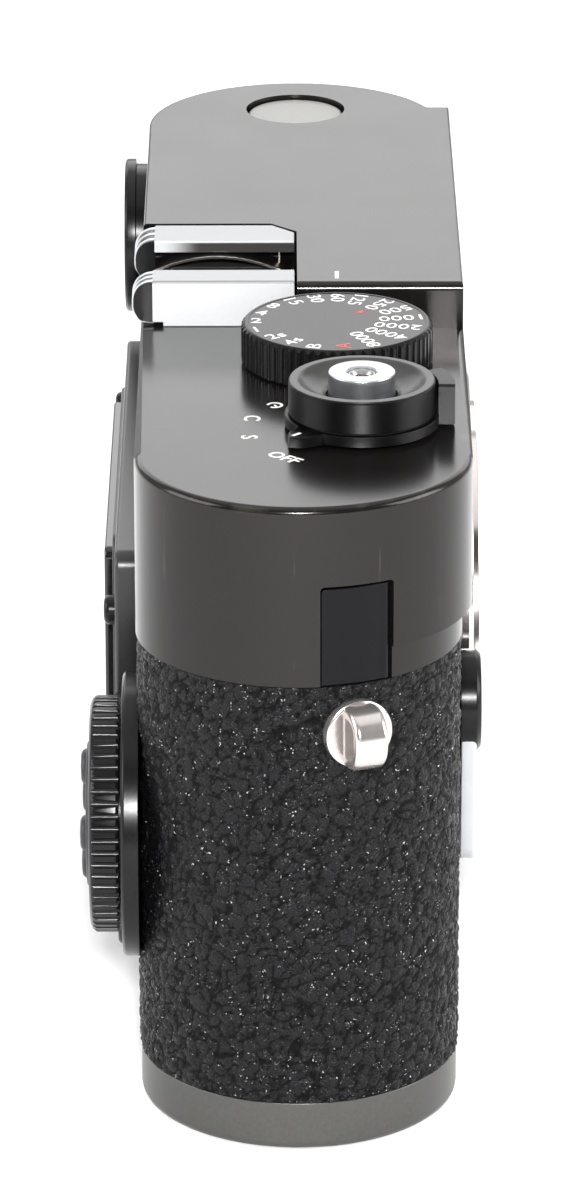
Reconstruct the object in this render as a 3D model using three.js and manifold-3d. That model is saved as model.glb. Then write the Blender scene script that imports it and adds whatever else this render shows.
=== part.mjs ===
// A digital rangefinder camera body, built as separate pieces in millimetres.
// +X points to the end with the round counter window, -X to the release end, -Y to the lens side and +Z up.
import * as THREE from "three";
import { mergeVertices } from "three/addons/utils/BufferGeometryUtils.js";
import Module from "manifold-3d";

const wasm = await Module();
wasm.setup();

// Driving dimensions
const bodyLength = 139;
const bodyDepth = 35.5;
const deckHeight = 80; // underside to the raised deck
const deckStep = 5.4; // raised deck down to the dial deck
const coverBottom = 54.4; // lower edge of the top cover
const baseHeight = 5.6; // height of the base plate's rim
const lensX = 1; // optical axis, which the accessory shoe shares
const lensZ = 37.2;
const throatRadius = 22; // the lens mount's clear opening
const spigotWall = 1.5; // the mount's neck, in the shell
const bearingWidth = 1.8; // the ring that the lens seats on
const flangeWidth = 6.5; // throat to the outer edge
const coverWall = 1.2;
const shellWall = 2;
const skinThickness = 0.6;
const seat = 0.3; // gap between two fitted pieces
const slip = 0.3; // running clearance of a moving piece
const overrun = 1; // how far a cutting tool passes the face it cuts
const arcSteps = 10; // straight pieces in a half circle of the body's outline
const roundSteps = 24; // sides of a full circle
const smallSteps = 10; // sides of a small one
const mountSteps = 36; // sides of the lens mount
const cornerSteps = 3; // straight pieces in a rounded corner
const frontSteps = 5; // straight pieces in the quarter ellipse of the proud front
const weldDistance = 1e-4; // corners closer than this are one

// Places worked out from the driving dimensions
const outerRadius = bodyDepth / 2;
const endCentre = bodyLength / 2 - outerRadius;
const dialDeck = deckHeight - deckStep;
const spigotRadius = throatRadius + spigotWall;
const bearingRadius = throatRadius + bearingWidth;
const mountRadius = throatRadius + flangeWidth;
const coverInner = outerRadius - coverWall;
const rimRadius = coverInner - seat;
const shellRadius = outerRadius - skinThickness - seat;
const shellInner = shellRadius - shellWall;

// Solids from three.js geometry
function solidOf(geometry) {
  const bare = geometry.index ? geometry.toNonIndexed() : geometry.clone();
  for (const name of Object.keys(bare.attributes)) {
    if (name !== "position") bare.deleteAttribute(name);
  }
  const merged = mergeVertices(bare, weldDistance);
  const corners = new Uint32Array(merged.index.array);
  const make = () =>
    new wasm.Manifold(
      new wasm.Mesh({
        numProp: 3,
        vertProperties: new Float32Array(merged.attributes.position.array),
        triVerts: corners,
      }),
    );
  const solid = make();
  if (solid.volume() >= 0) return solid;
  for (let i = 0; i < corners.length; i += 3) {
    [corners[i + 1], corners[i + 2]] = [corners[i + 2], corners[i + 1]];
  }
  return make();
}

function geometryOf(solid) {
  const mesh = solid.getMesh();
  const points = new Float32Array(mesh.numVert * 3);
  for (let i = 0; i < mesh.numVert; i += 1) {
    points.set(mesh.vertProperties.subarray(i * mesh.numProp, i * mesh.numProp + 3), i * 3);
  }
  const geometry = new THREE.BufferGeometry();
  geometry.setAttribute("position", new THREE.BufferAttribute(points, 3));
  geometry.setIndex(new THREE.BufferAttribute(new Uint32Array(mesh.triVerts), 1));
  const faceted = geometry.toNonIndexed();
  faceted.computeVertexNormals();
  return faceted;
}

const join = (first, ...others) => others.reduce((whole, part) => whole.add(part), first);
const cut = (first, ...others) => others.reduce((whole, part) => whole.subtract(part), first);
const common = (first, second) => first.intersect(second);

function box(x0, x1, y0, y1, z0, z1) {
  const geometry = new THREE.BoxGeometry(x1 - x0, y1 - y0, z1 - z0);
  return solidOf(geometry.translate((x0 + x1) / 2, (y0 + y1) / 2, (z0 + z1) / 2));
}

// An outline in X and Y, raised from z0 to z1. A bevel rounds both of its flat ends.
function prismUp(shape, z0, z1, bevel = 0, curveSegments = arcSteps) {
  const geometry = new THREE.ExtrudeGeometry(shape, {
    depth: z1 - z0 - 2 * bevel,
    curveSegments,
    bevelEnabled: bevel > 0,
    bevelThickness: bevel,
    bevelSize: bevel,
    bevelOffset: -bevel,
    bevelSegments: 1,
  });
  return solidOf(geometry.translate(0, 0, z0 + bevel));
}

// An outline in X and Z, carried through the camera's depth from y0 to y1
function prismThrough(shape, y0, y1, bevel = 0, curveSegments = arcSteps) {
  const geometry = new THREE.ExtrudeGeometry(shape, {
    depth: y1 - y0 - 2 * bevel,
    curveSegments,
    bevelEnabled: bevel > 0,
    bevelThickness: bevel,
    bevelSize: bevel,
    bevelOffset: -bevel,
    bevelSegments: 1,
  });
  return solidOf(geometry.rotateX(Math.PI / 2).translate(0, y1 - bevel, 0));
}

// An outline in Y and Z, carried along the camera's length from x0 to x1
function prismAlong(shape, x0, x1, curveSegments = arcSteps) {
  const geometry = new THREE.ExtrudeGeometry(shape, { depth: x1 - x0, curveSegments, bevelEnabled: false });
  return solidOf(geometry.rotateZ(Math.PI / 2).rotateY(Math.PI / 2).translate(x0, 0, 0));
}

// Profiles are [radius, height] pairs round a closed section.
function turnedUp(profile, steps = roundSteps) {
  const points = [...profile, profile[0]].map(([r, h]) => new THREE.Vector2(r, h));
  return solidOf(new THREE.LatheGeometry(points, steps).rotateX(Math.PI / 2));
}

function turnedThrough(profile, steps = roundSteps) {
  const points = [...profile, profile[0]].map(([r, y]) => new THREE.Vector2(r, y));
  return solidOf(new THREE.LatheGeometry(points, steps));
}

const rodUp = (r, z0, z1, steps = roundSteps) => turnedUp([[0, z0], [r, z0], [r, z1], [0, z1]], steps);
const rodThrough = (r, y0, y1, steps = roundSteps) => turnedThrough([[0, y0], [r, y0], [r, y1], [0, y1]], steps);
const moved = (solid, x, y, z) => solid.translate([x, y, z]);

function rodAlong(r, x0, x1, y, z, steps = smallSteps) {
  const geometry = new THREE.CylinderGeometry(r, r, x1 - x0, steps);
  return solidOf(geometry.rotateZ(Math.PI / 2).translate((x0 + x1) / 2, y, z));
}

// Outlines
function stadium(radius) {
  const shape = new THREE.Shape();
  shape.moveTo(-endCentre, -radius);
  shape.lineTo(endCentre, -radius);
  shape.absarc(endCentre, 0, radius, -Math.PI / 2, Math.PI / 2, false);
  shape.lineTo(-endCentre, radius);
  shape.absarc(-endCentre, 0, radius, Math.PI / 2, (3 * Math.PI) / 2, false);
  return shape;
}

function roundedRectangle(x0, x1, z0, z1, corner) {
  const shape = new THREE.Shape();
  shape.moveTo(x0 + corner, z0);
  shape.lineTo(x1 - corner, z0);
  shape.absarc(x1 - corner, z0 + corner, corner, -Math.PI / 2, 0, false);
  shape.lineTo(x1, z1 - corner);
  shape.absarc(x1 - corner, z1 - corner, corner, 0, Math.PI / 2, false);
  shape.lineTo(x0 + corner, z1);
  shape.absarc(x0 + corner, z1 - corner, corner, Math.PI / 2, Math.PI, false);
  shape.lineTo(x0, z0 + corner);
  shape.absarc(x0 + corner, z0 + corner, corner, Math.PI, (3 * Math.PI) / 2, false);
  return shape;
}

// A knurled rim: each rib is a tooth with a flat crest and a flat root.
function knurled(radius, depth, ribs, bore = 0, boreSteps = roundSteps) {
  const crestShare = 0.3;
  const shape = new THREE.Shape();
  const pitch = (2 * Math.PI) / ribs;
  for (let i = 0; i < ribs; i += 1) {
    const angles = [0, crestShare, 0.5, 0.5 + crestShare].map((share) => (i + share) * pitch);
    angles.forEach((angle, k) => {
      const r = k < 2 ? radius : radius - depth;
      shape[i + k ? "lineTo" : "moveTo"](r * Math.cos(angle), r * Math.sin(angle));
    });
  }
  shape.closePath();
  if (bore) {
    const hole = new THREE.Path();
    for (let i = 0; i < boreSteps; i += 1) {
      const angle = (-2 * Math.PI * i) / boreSteps;
      hole[i ? "lineTo" : "moveTo"](bore * Math.cos(angle), bore * Math.sin(angle));
    }
    hole.closePath();
    shape.holes.push(hole);
  }
  return shape;
}

// Finishes
const finish = (color, roughness, metalness) => new THREE.MeshStandardMaterial({ color, roughness, metalness });
const blackChrome = finish(0x2a2928, 0.38, 0.8);
const gunMetal = finish(0x5a5852, 0.42, 0.9);
const blackPaint = finish(0x161617, 0.35, 0.4);
const chrome = finish(0xd8d8d6, 0.12, 1);
const satinSteel = finish(0xa9abad, 0.35, 1);
const leather = finish(0x1d1e21, 0.6, 0);
const blackPlastic = finish(0x1a1a1c, 0.45, 0);
const rubber = finish(0x17171a, 0.7, 0);
const glass = finish(0x20262c, 0.05, 0);
const frosted = finish(0xd5d3cc, 0.5, 0);
const castAlloy = finish(0x8c8f92, 0.55, 0.8);
const board = finish(0x14503a, 0.6, 0);
const cellGrey = finish(0x3b3d42, 0.5, 0);

const camera = new THREE.Group();

function add(name, solid, material, at = [0, 0, 0], turn = 0, parent = camera) {
  const mesh = new THREE.Mesh(geometryOf(solid), material);
  mesh.name = name;
  mesh.position.set(...at);
  mesh.rotation.z = turn;
  parent.add(mesh);
  return mesh;
}

// Places that several pieces share
const finderFront = 1.05; // the upper cover stands this far proud of the skin on the lens side
const finderFrontInset = 10.4; // where that front stops, at the window end
const finderFrontEnd = bodyLength / 2 - finderFrontInset;
const bandTop = 58; // lower edge of the proud front
const coverEdge = 0.8; // rounding of the cover's edges
const stepX = -10; // where the raised deck begins
const shoeInner = 18.6; // standard accessory shoe, between its side walls
const shoeWall = 1.6;
const shoeFront = 0; // the deck's wall in front of the shoe
const shoeRear = 16.8;
const shoeCornerCut = 3;
const shoeHalf = shoeInner / 2 + shoeWall;
const shoePocketX = lensX + shoeHalf + seat;

const counterInsetX = 11.3; // from the window end to the counter's middle
const counterX = bodyLength / 2 - counterInsetX;
const counterRadius = 6;
const eyepieceX = 46;
const eyepieceDrop = 12.2; // below the raised deck
const eyepieceZ = deckHeight - eyepieceDrop;
const eyepieceHole = 6.5;
const dialX = -21.4;
const dialY = -4.4;
const dialShaftRadius = 2;
const releaseX = -43.1;
const releaseY = -6.9;
const neckRadius = 5;

const windowDrop = 11;
const frameWindowDrop = 10.4;
const frameWindowInset = 6; // its middle, inside the mount's edge
const rangeWindowInset = 7.5;
const finderWindow = { x: 48, z: deckHeight - windowDrop, width: 15, height: 10.4 };
const frameWindow = {
  x: lensX + mountRadius - frameWindowInset,
  z: deckHeight - frameWindowDrop,
  width: 13,
  height: 8.6,
};
const rangeWindow = {
  x: lensX - mountRadius + rangeWindowInset,
  z: deckHeight - windowDrop,
  width: 7.6,
  height: 6,
};
const windowCorner = 0.9;
const windowThickness = 1;
const windowInset = 0.25;

const frontFace = outerRadius + finderFront;

function windowShape({ x, z, width, height }, grow = 0) {
  const halfWidth = width / 2 + grow;
  const halfHeight = height / 2 + grow;
  return roundedRectangle(x - halfWidth, x + halfWidth, z - halfHeight, z + halfHeight, windowCorner + grow);
}

// The upper cover's proud front: elliptical at the release end, with a square corner at the window end
function proudFront(inset) {
  const rear = outerRadius - inset;
  const front = frontFace - inset;
  const far = finderFrontEnd - inset;
  const shape = new THREE.Shape();
  shape.moveTo(far, -front);
  shape.lineTo(far, 0);
  shape.lineTo(-endCentre - rear, 0);
  shape.absellipse(-endCentre, 0, rear, front, Math.PI, (3 * Math.PI) / 2, false);
  return shape;
}

// The raised deck leaves out the dial deck and a pocket for the shoe at the rear.
function raisedRegion(inset) {
  const reach = bodyLength;
  const shape = new THREE.Shape();
  shape.moveTo(stepX + inset, -reach);
  shape.lineTo(reach, -reach);
  shape.lineTo(reach, reach);
  shape.lineTo(shoePocketX + inset, reach);
  shape.lineTo(shoePocketX + inset, shoeFront + shoeCornerCut - inset);
  shape.lineTo(shoePocketX - shoeCornerCut + inset, shoeFront - inset);
  shape.lineTo(stepX + inset, shoeFront - inset);
  return shape;
}

// The cover's body up to a given height, drawn in by an inset
function coverBody(inset, foot, frontFoot, top, edge) {
  return join(
    prismUp(stadium(outerRadius - inset), foot, top, edge),
    prismUp(proudFront(inset), frontFoot, top, edge, frontSteps),
  );
}

// Top cover
const portAngle = -0.35; // the port's place on the round release end, from its tip towards the lens side
const portHalfAngle = 0.235;
const portTop = 65.7;
const flapThickness = 0.9;
const flapInset = 0.05;
const flapFoot = 0.1; // the port is open below, and the flap ends just above the cover's lower edge

// A slice of the round release end, between two radii and two angles from its tip
function endSlice(inner, outer, from, to) {
  const shape = new THREE.Shape();
  const tip = Math.PI;
  shape.moveTo(outer * Math.cos(tip - from), outer * Math.sin(tip - from));
  shape.absarc(0, 0, outer, tip - from, tip - to, true);
  shape.lineTo(inner * Math.cos(tip - to), inner * Math.sin(tip - to));
  shape.absarc(0, 0, inner, tip - to, tip - from, false);
  return shape;
}

function makeTopCover() {
  const foot = coverBottom - 2 * coverEdge;
  const low = coverBody(0, foot, bandTop, dialDeck, coverEdge);
  const high = coverBody(0, foot, bandTop, deckHeight, coverEdge);
  const raised = common(high, prismUp(raisedRegion(0), coverBottom, deckHeight + overrun));
  const ceiling = bandTop + coverWall;
  const cavityFoot = coverBottom - 2 * overrun;
  const lowCavity = coverBody(coverWall, cavityFoot, ceiling, dialDeck - coverWall, 0);
  const highCavity = common(
    coverBody(coverWall, cavityFoot, ceiling, deckHeight - coverWall, 0),
    prismUp(raisedRegion(coverWall), ceiling, deckHeight),
  );
  const reach = bodyLength;
  const below = box(-reach, reach, -reach, reach, -overrun, coverBottom);
  const holes = [
    moved(rodUp(counterRadius, deckHeight - coverWall - overrun, deckHeight + overrun), counterX, 0, 0),
    moved(rodThrough(eyepieceHole, coverInner - overrun, outerRadius + overrun), eyepieceX, 0, eyepieceZ),
    moved(rodUp(dialShaftRadius + slip, dialDeck - coverWall - overrun, dialDeck + overrun), dialX, dialY, 0),
    moved(rodUp(neckRadius + seat, dialDeck - coverWall - overrun, dialDeck + overrun), releaseX, releaseY, 0),
    moved(rodThrough(mountRadius + seat, -frontFace - overrun, -coverInner + overrun, mountSteps), lensX, 0, lensZ),
    ...[finderWindow, frameWindow, rangeWindow].map((place) =>
      prismThrough(windowShape(place), -frontFace - overrun, -frontFace + coverWall + overrun, 0, cornerSteps),
    ),
  ];
  const port = prismUp(
    endSlice(coverInner - overrun, outerRadius + overrun, portAngle - portHalfAngle, portAngle + portHalfAngle),
    coverBottom - overrun,
    portTop,
    0,
    cornerSteps,
  );
  return cut(join(low, raised), below, lowCavity, highCavity, moved(port, -endCentre, 0, 0), ...holes);
}
add("top_cover", makeTopCover(), blackChrome);

// Windows in the proud front
function makeWindow(place) {
  const back = -frontFace + windowInset + windowThickness;
  return prismThrough(windowShape(place, -seat), back - windowThickness, back, 0, cornerSteps);
}
add("viewfinder_window", makeWindow(finderWindow), glass);
add("frame_light_window", makeWindow(frameWindow), frosted);
add("rangefinder_window", makeWindow(rangeWindow), glass);

// Counter window, with the display below it
const counterModuleRadius = 7;
const counterModuleHeight = 2.5;
const counterInset = 0.5;
const counterModuleTop = deckHeight - coverWall - seat;
add(
  "counter_window",
  rodUp(counterRadius - seat, counterModuleTop + seat, deckHeight - counterInset),
  glass,
  [counterX, 0, 0],
);
add(
  "counter_display",
  rodUp(counterModuleRadius, counterModuleTop - counterModuleHeight, counterModuleTop),
  blackPlastic,
  [counterX, 0, 0],
);

// Eyepiece
const eyepieceRadius = 9.25;
const eyepieceProud = 2.85;
const eyepieceNeck = 3;
const eyepieceBore = 5;
const eyepieceMouth = 6.4;
const eyepieceGroove = 0.6;
function makeEyepieceRing() {
  const face = outerRadius + eyepieceProud;
  const neck = eyepieceHole - seat;
  const root = outerRadius - eyepieceNeck;
  const mid = outerRadius + eyepieceProud / 2;
  return turnedThrough([
    [eyepieceBore, root],
    [neck, root],
    [neck, outerRadius],
    [eyepieceRadius - eyepieceGroove, outerRadius],
    [eyepieceRadius - eyepieceGroove, mid],
    [eyepieceRadius, mid],
    [eyepieceRadius, face - eyepieceGroove / 2],
    [eyepieceRadius - eyepieceGroove / 2, face],
    [eyepieceMouth, face],
    [eyepieceBore, outerRadius],
  ]);
}
add("eyepiece_ring", makeEyepieceRing(), blackPaint, [eyepieceX, 0, eyepieceZ]);
const eyepieceLensThickness = 1.2;
add(
  "eyepiece_lens",
  rodThrough(eyepieceBore - seat, outerRadius - eyepieceLensThickness, outerRadius),
  glass,
  [eyepieceX, 0, eyepieceZ],
);

// Accessory shoe
const shoeFloor = 1.8;
const shoeSlot = 2.1; // height of the standard slot
const shoeMouth = 12.5; // between the two rails
const shoeRailEdge = 0.25;
const lipReach = 2.7; // the rounded rear ends pass the cover's rear edge
const contactWidth = 11.4;
const contactFront = 2.5;
const contactRear = 14.5;
const shoeTop = deckHeight;
const shoeFloorTop = dialDeck + shoeFloor;

// The room beyond the diagonal of the deck's cut corner, kept clear by a gap
function beyondCorner(gap) {
  const diagonal = shoePocketX - shoeCornerCut - shoeFront - gap * Math.SQRT2;
  const near = shoeFront - overrun;
  const far = shoePocketX + overrun;
  const shape = new THREE.Shape();
  shape.moveTo(near + diagonal, near);
  shape.lineTo(far, near);
  shape.lineTo(far, far - diagonal);
  return prismUp(shape, dialDeck - overrun, shoeTop + overrun);
}

// One rail with its wall, as a section across the shoe. side is -1 for the near rail and 1 for the far one.
function railLip(side) {
  const wallOuter = lensX + side * shoeHalf;
  const railInner = lensX + (side * shoeMouth) / 2;
  const tip = shoeRear + lipReach;
  const low = shoeFloorTop;
  const shape = new THREE.Shape();
  shape.moveTo(shoeRear, dialDeck);
  shape.lineTo(outerRadius, dialDeck);
  shape.quadraticCurveTo(tip, dialDeck, tip, low);
  shape.quadraticCurveTo(tip, shoeTop, shoeRear, shoeTop);
  const block = prismAlong(shape, Math.min(wallOuter, railInner), Math.max(wallOuter, railInner), cornerSteps);
  const slotInner = lensX + (side * shoeInner) / 2;
  const slot = box(
    Math.min(slotInner, railInner - side * overrun),
    Math.max(slotInner, railInner - side * overrun),
    shoeRear - overrun,
    tip + overrun,
    shoeFloorTop,
    shoeFloorTop + shoeSlot,
  );
  return cut(block, slot);
}

function makeShoe() {
  const front = shoeFront + seat;
  const x0 = lensX - shoeHalf;
  const x1 = lensX + shoeHalf;
  const outer = box(x0, x1, front, shoeRear, dialDeck, shoeTop - shoeRailEdge);
  const caps = [-1, 1].map((side) => {
    const wallOuter = lensX + side * (shoeHalf - shoeRailEdge);
    const railInner = lensX + (side * shoeMouth) / 2;
    const [a, b] = [Math.min(wallOuter, railInner), Math.max(wallOuter, railInner)];
    return box(a, b, front, shoeRear, shoeTop - shoeRailEdge - overrun, shoeTop);
  });
  const mouth = box(
    lensX - shoeMouth / 2,
    lensX + shoeMouth / 2,
    front - overrun,
    shoeRear + overrun,
    shoeFloorTop,
    shoeTop + overrun,
  );
  const slot = box(
    lensX - shoeInner / 2,
    lensX + shoeInner / 2,
    front - overrun,
    shoeRear + overrun,
    shoeFloorTop,
    shoeFloorTop + shoeSlot,
  );
  const contacts = box(
    lensX - contactWidth / 2,
    lensX + contactWidth / 2,
    contactFront,
    contactRear,
    dialDeck + shoeFloor / 2,
    shoeFloorTop + overrun,
  );
  const channel = cut(join(outer, ...caps), mouth, slot, beyondCorner(seat));
  return cut(join(channel, railLip(-1), railLip(1)), contacts);
}
add("accessory_shoe", makeShoe(), chrome);

const contactRadius = 1.5;
const contactRise = 0.25;
function makeContactBlock() {
  const half = contactWidth / 2 - seat;
  const bottom = dialDeck + shoeFloor / 2;
  const block = box(-half, half, contactFront + seat, contactRear - seat, bottom, shoeFloorTop);
  const contact = rodUp(contactRadius, bottom, shoeFloorTop + contactRise, smallSteps);
  return join(block, moved(contact, 0, (contactFront + contactRear) / 2, 0));
}
add("shoe_contact_block", makeContactBlock(), blackPlastic, [lensX, 0, 0]);

// Leaf spring: a bowed strip under each rail, joined across the front
const springThickness = 0.35;
const springWidth = 2.4;
const springBow = 0.75;
const springCross = 1.6;
function makeShoeSpring() {
  const front = shoeFront + 2 * seat;
  const rear = shoeRear - seat;
  const base = shoeFloorTop;
  const middle = (front + rear) / 2;
  const shape = new THREE.Shape();
  shape.moveTo(front, base);
  shape.lineTo(front + springCross, base);
  shape.quadraticCurveTo(middle, base + 2 * springBow, rear, base);
  shape.lineTo(rear, base + springThickness);
  shape.quadraticCurveTo(middle, base + 2 * springBow + springThickness, front + springCross, base + springThickness);
  shape.lineTo(front, base + springThickness);
  const outer = shoeInner / 2 - seat;
  const inner = outer - springWidth;
  const strips = [-1, 1].map((side) =>
    prismAlong(shape, lensX + Math.min(side * outer, side * inner), lensX + Math.max(side * outer, side * inner), cornerSteps),
  );
  const cross = box(lensX - outer, lensX + outer, front, front + springCross, base, base + springThickness);
  return cut(join(cross, ...strips), beyondCorner(2 * seat));
}
add("shoe_spring", makeShoeSpring(), satinSteel);

// Shutter speed dial: the knurled head turns with its shaft in the encoder below the deck.
const dialRadius = 10.7;
const dialHeight = 4.75;
const dialTop = dialDeck + dialHeight;
const dialRise = 0.4;
const dialRibs = 32;
const dialRibDepth = 0.45;
const dialEdge = 0.45;
const encoderRadius = 5;
const chassisThickness = 2;
const rimRise = 3;
const chassisBottom = coverBottom + rimRise + seat;
const chassisTop = chassisBottom + chassisThickness;
const footRoom = 3; // between the chassis plate and the foot of the dial's shaft or the button's stem
const shaftFoot = chassisTop + footRoom;
function makeDial() {
  const bottom = dialDeck + dialRise;
  const skirt = prismUp(knurled(dialRadius, dialRibDepth, dialRibs), bottom, dialTop - dialEdge);
  const crown = turnedUp(
    [
      [0, dialTop - dialEdge],
      [dialRadius - dialRibDepth / 2, dialTop - dialEdge],
      [dialRadius - dialEdge - dialRibDepth / 2, dialTop],
      [0, dialTop],
    ],
    dialRibs,
  );
  return join(skirt, crown, rodUp(dialShaftRadius, shaftFoot, dialTop - dialEdge, smallSteps));
}
add("shutter_speed_dial", makeDial(), blackPaint, [dialX, dialY, 0]);
const encoderTop = dialDeck - coverWall - seat;
add(
  "speed_dial_encoder",
  cut(
    rodUp(encoderRadius, chassisTop + seat, encoderTop),
    rodUp(dialShaftRadius + slip, shaftFoot - slip, encoderTop + overrun, smallSteps),
  ),
  blackPlastic,
  [dialX, dialY, 0],
);

// Release group: a fixed cup on its neck, the button in its bore and the main switch ring round its neck
const cupRadius = 8;
const cupRise = 5.45;
const cupHeight = 2.65;
const cupTop = dialDeck + cupRise;
const cupBottom = cupTop - cupHeight;
const dishRadius = 7.2;
const dishDepth = 1.5;
const buttonRadius = 3.65;
const buttonRise = 0.85; // above the cup's rim
const buttonTop = cupTop + buttonRise;
const buttonStemFoot = chassisTop + footRoom;
const buttonHole = 1;
const buttonCone = 1.65;
const buttonHoleDepth = 4;
const cupEdge = 0.25;
function makeCup() {
  const bore = buttonRadius + slip;
  return turnedUp([
    [bore, chassisTop + seat],
    [neckRadius, chassisTop + seat],
    [neckRadius, cupBottom],
    [cupRadius, cupBottom],
    [cupRadius, cupTop - cupEdge],
    [cupRadius - cupEdge, cupTop],
    [dishRadius, cupTop],
    [bore + slip, cupTop - dishDepth],
    [bore, cupTop - dishDepth],
  ]);
}
add("release_cup", makeCup(), blackPaint, [releaseX, releaseY, 0]);

function makeReleaseButton() {
  const mouth = buttonTop - (buttonCone - buttonHole);
  return turnedUp(
    [
      [0, buttonStemFoot],
      [buttonRadius, buttonStemFoot],
      [buttonRadius, buttonTop - cupEdge],
      [buttonRadius - cupEdge, buttonTop],
      [buttonCone, buttonTop],
      [buttonHole, mouth],
      [buttonHole, buttonTop - buttonHoleDepth],
      [0, buttonTop - buttonHoleDepth],
    ],
  );
}
add("release_button", makeReleaseButton(), chrome, [releaseX, releaseY, 0]);

// The switch points to OFF at rest. Angles are seen from above, from +X.
const switchRadius = 8.4;
const switchBottom = dialDeck + slip;
const switchTop = cupBottom - slip;
const pointerAngle = 2.4;
const pointerReach = 10.6;
const pointerHalf = 0.13;
const pointerHeight = 1.3;
const tabAngle = -1.38;
const tabHalf = 0.19;
const tabInner = 8.35;
const tabReach = 10;
const tabDrop = 0.55; // below the cup's rim
const tabTop = cupTop - tabDrop;
function sectorShape(inner, outer, from, to) {
  const shape = new THREE.Shape();
  shape.moveTo(outer * Math.cos(from), outer * Math.sin(from));
  shape.absarc(0, 0, outer, from, to, false);
  shape.lineTo(inner * Math.cos(to), inner * Math.sin(to));
  shape.absarc(0, 0, inner, to, from, true);
  return shape;
}
function makeSwitch() {
  const ring = turnedUp([
    [neckRadius + slip, switchBottom],
    [switchRadius, switchBottom],
    [switchRadius, switchTop],
    [neckRadius + slip, switchTop],
  ]);
  const arm = prismUp(
    sectorShape(switchRadius - overrun, tabReach, tabAngle - tabHalf, tabAngle + tabHalf),
    switchBottom,
    switchTop,
    0,
    cornerSteps,
  );
  const tab = prismUp(
    sectorShape(tabInner, tabReach, tabAngle - tabHalf, tabAngle + tabHalf),
    switchBottom,
    tabTop,
    0,
    cornerSteps,
  );
  const root = switchRadius - overrun;
  const pointer = new THREE.Shape();
  const onCircle = (r, angle) => [r * Math.cos(pointerAngle + angle), r * Math.sin(pointerAngle + angle)];
  pointer.moveTo(...onCircle(root, -2 * pointerHalf));
  pointer.lineTo(...onCircle((switchRadius + pointerReach) / 2, -pointerHalf));
  pointer.lineTo(...onCircle(pointerReach, 0));
  pointer.lineTo(...onCircle((switchRadius + pointerReach) / 2, pointerHalf));
  pointer.lineTo(...onCircle(root, 2 * pointerHalf));
  return join(ring, arm, tab, prismUp(pointer, switchBottom, switchBottom + pointerHeight));
}
add("main_switch", makeSwitch(), blackPaint, [releaseX, releaseY, 0]);

// Port on the release end: a hinged flap over the socket
const hingeAngle = portAngle - portHalfAngle;
const flapOuter = outerRadius - flapInset;
const flapMid = flapOuter - flapThickness / 2;
const hingeHalf = (slip + flapThickness / 2) / flapMid;
function makeFlap() {
  const from = hingeAngle + hingeHalf;
  const to = portAngle + portHalfAngle - slip / flapMid;
  const z0 = coverBottom + flapFoot;
  const z1 = portTop - slip;
  const plate = prismUp(endSlice(flapOuter - flapThickness, flapOuter, from, to), z0, z1, 0, cornerSteps);
  const tip = Math.PI - from;
  const knuckle = moved(rodUp(flapThickness / 2, z0, z1, smallSteps), flapMid * Math.cos(tip), flapMid * Math.sin(tip), 0);
  return join(plate, knuckle);
}
add("port_flap", makeFlap(), rubber, [-endCentre, 0, 0]);

const socketWidth = 7.7;
const socketHeight = 3.9;
const socketDepth = 7;
const socketWall = 0.5;
const socketSetBack = 0.9; // from the closed flap to the socket's mouth
function makeSocket() {
  const front = -(flapOuter - flapThickness - socketSetBack);
  const z0 = chassisTop + seat;
  const shell = box(front, front + socketDepth, -socketWidth / 2, socketWidth / 2, z0, z0 + socketHeight);
  const mouth = box(
    front - overrun,
    front + socketDepth - socketWall,
    -socketWidth / 2 + socketWall,
    socketWidth / 2 - socketWall,
    z0 + socketWall,
    z0 + socketHeight - socketWall,
  );
  return cut(shell, mouth);
}
add("data_socket", makeSocket(), satinSteel, [-endCentre, 0, 0], -portAngle);

// Body shell, with rims that the cover and the base plate slide over
const baseFloor = 1.3;
const mountProud = 2.05; // the outer flange stands this far proud of the skin
const bearingProud = 2.85;
const bossRadius = mountRadius - seat; // backs the mount where it rises past the cover's lower edge
const shellFoot = baseFloor + seat;
const shellLow = baseHeight + seat;
const shellHigh = coverBottom - seat;

const panelLeft = -33;
const panelRight = 43;
const panelBottom = 8.1;
const panelTop = 55.8;
const panelProud = 2.7;
const panelCorner = 2;
const screenX = 5.6;
const screenZ = 31.9;
const screenWidth = 51.5;
const screenHeight = 39.7;
const moduleMargin = 0.8;
const padInset = 5.75; // from the middle of the rounded end
const padX = padInset - endCentre;
const padZ = 30.2;
const padBaseRadius = 15.75;
const padBaseDepth = outerRadius / 2; // how far forward the base can follow the rounded end

const leverGap = 6; // from the mount's edge to the lever's pin
const leverX = lensX - mountRadius - leverGap;
const leverZ = 38.7;
const leverPin = 1.5;
const lockCollar = 5.8;
const lockCollarProud = 1.5;
const lockRadius = 4.4;
const lockOffset = mountRadius + lockCollar + 2 * seat; // from the optical axis to the lens release
const lockAngle = -0.67;
const lockX = lensX + lockOffset * Math.cos(lockAngle);
const lockZ = lensZ + lockOffset * Math.sin(lockAngle);
const lockStem = 1.5;
const lugAngle = 0.36;
const lugZ = 48.8;
const lugRadius = 3.6;
const lugStud = 1.5;

const bareSkin = outerRadius + overrun;
function endTool(radius, sideX) {
  const reach = bareSkin + overrun;
  const rod = solidOf(
    new THREE.CylinderGeometry(radius, radius, reach, smallSteps)
      .rotateZ(Math.PI / 2)
      .translate(reach / 2 + shellInner / 2, 0, 0)
      .rotateZ(sideX > 0 ? -lugAngle : Math.PI + lugAngle),
  );
  return moved(rod, sideX * endCentre, 0, lugZ);
}

const screenHalfX = screenWidth / 2 + moduleMargin + seat;
const screenHalfZ = screenHeight / 2 + moduleMargin + seat;
const screenOpening = () =>
  roundedRectangle(
    screenX - screenHalfX,
    screenX + screenHalfX,
    screenZ - screenHalfZ,
    screenZ + screenHalfZ,
    moduleMargin,
  );

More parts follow.
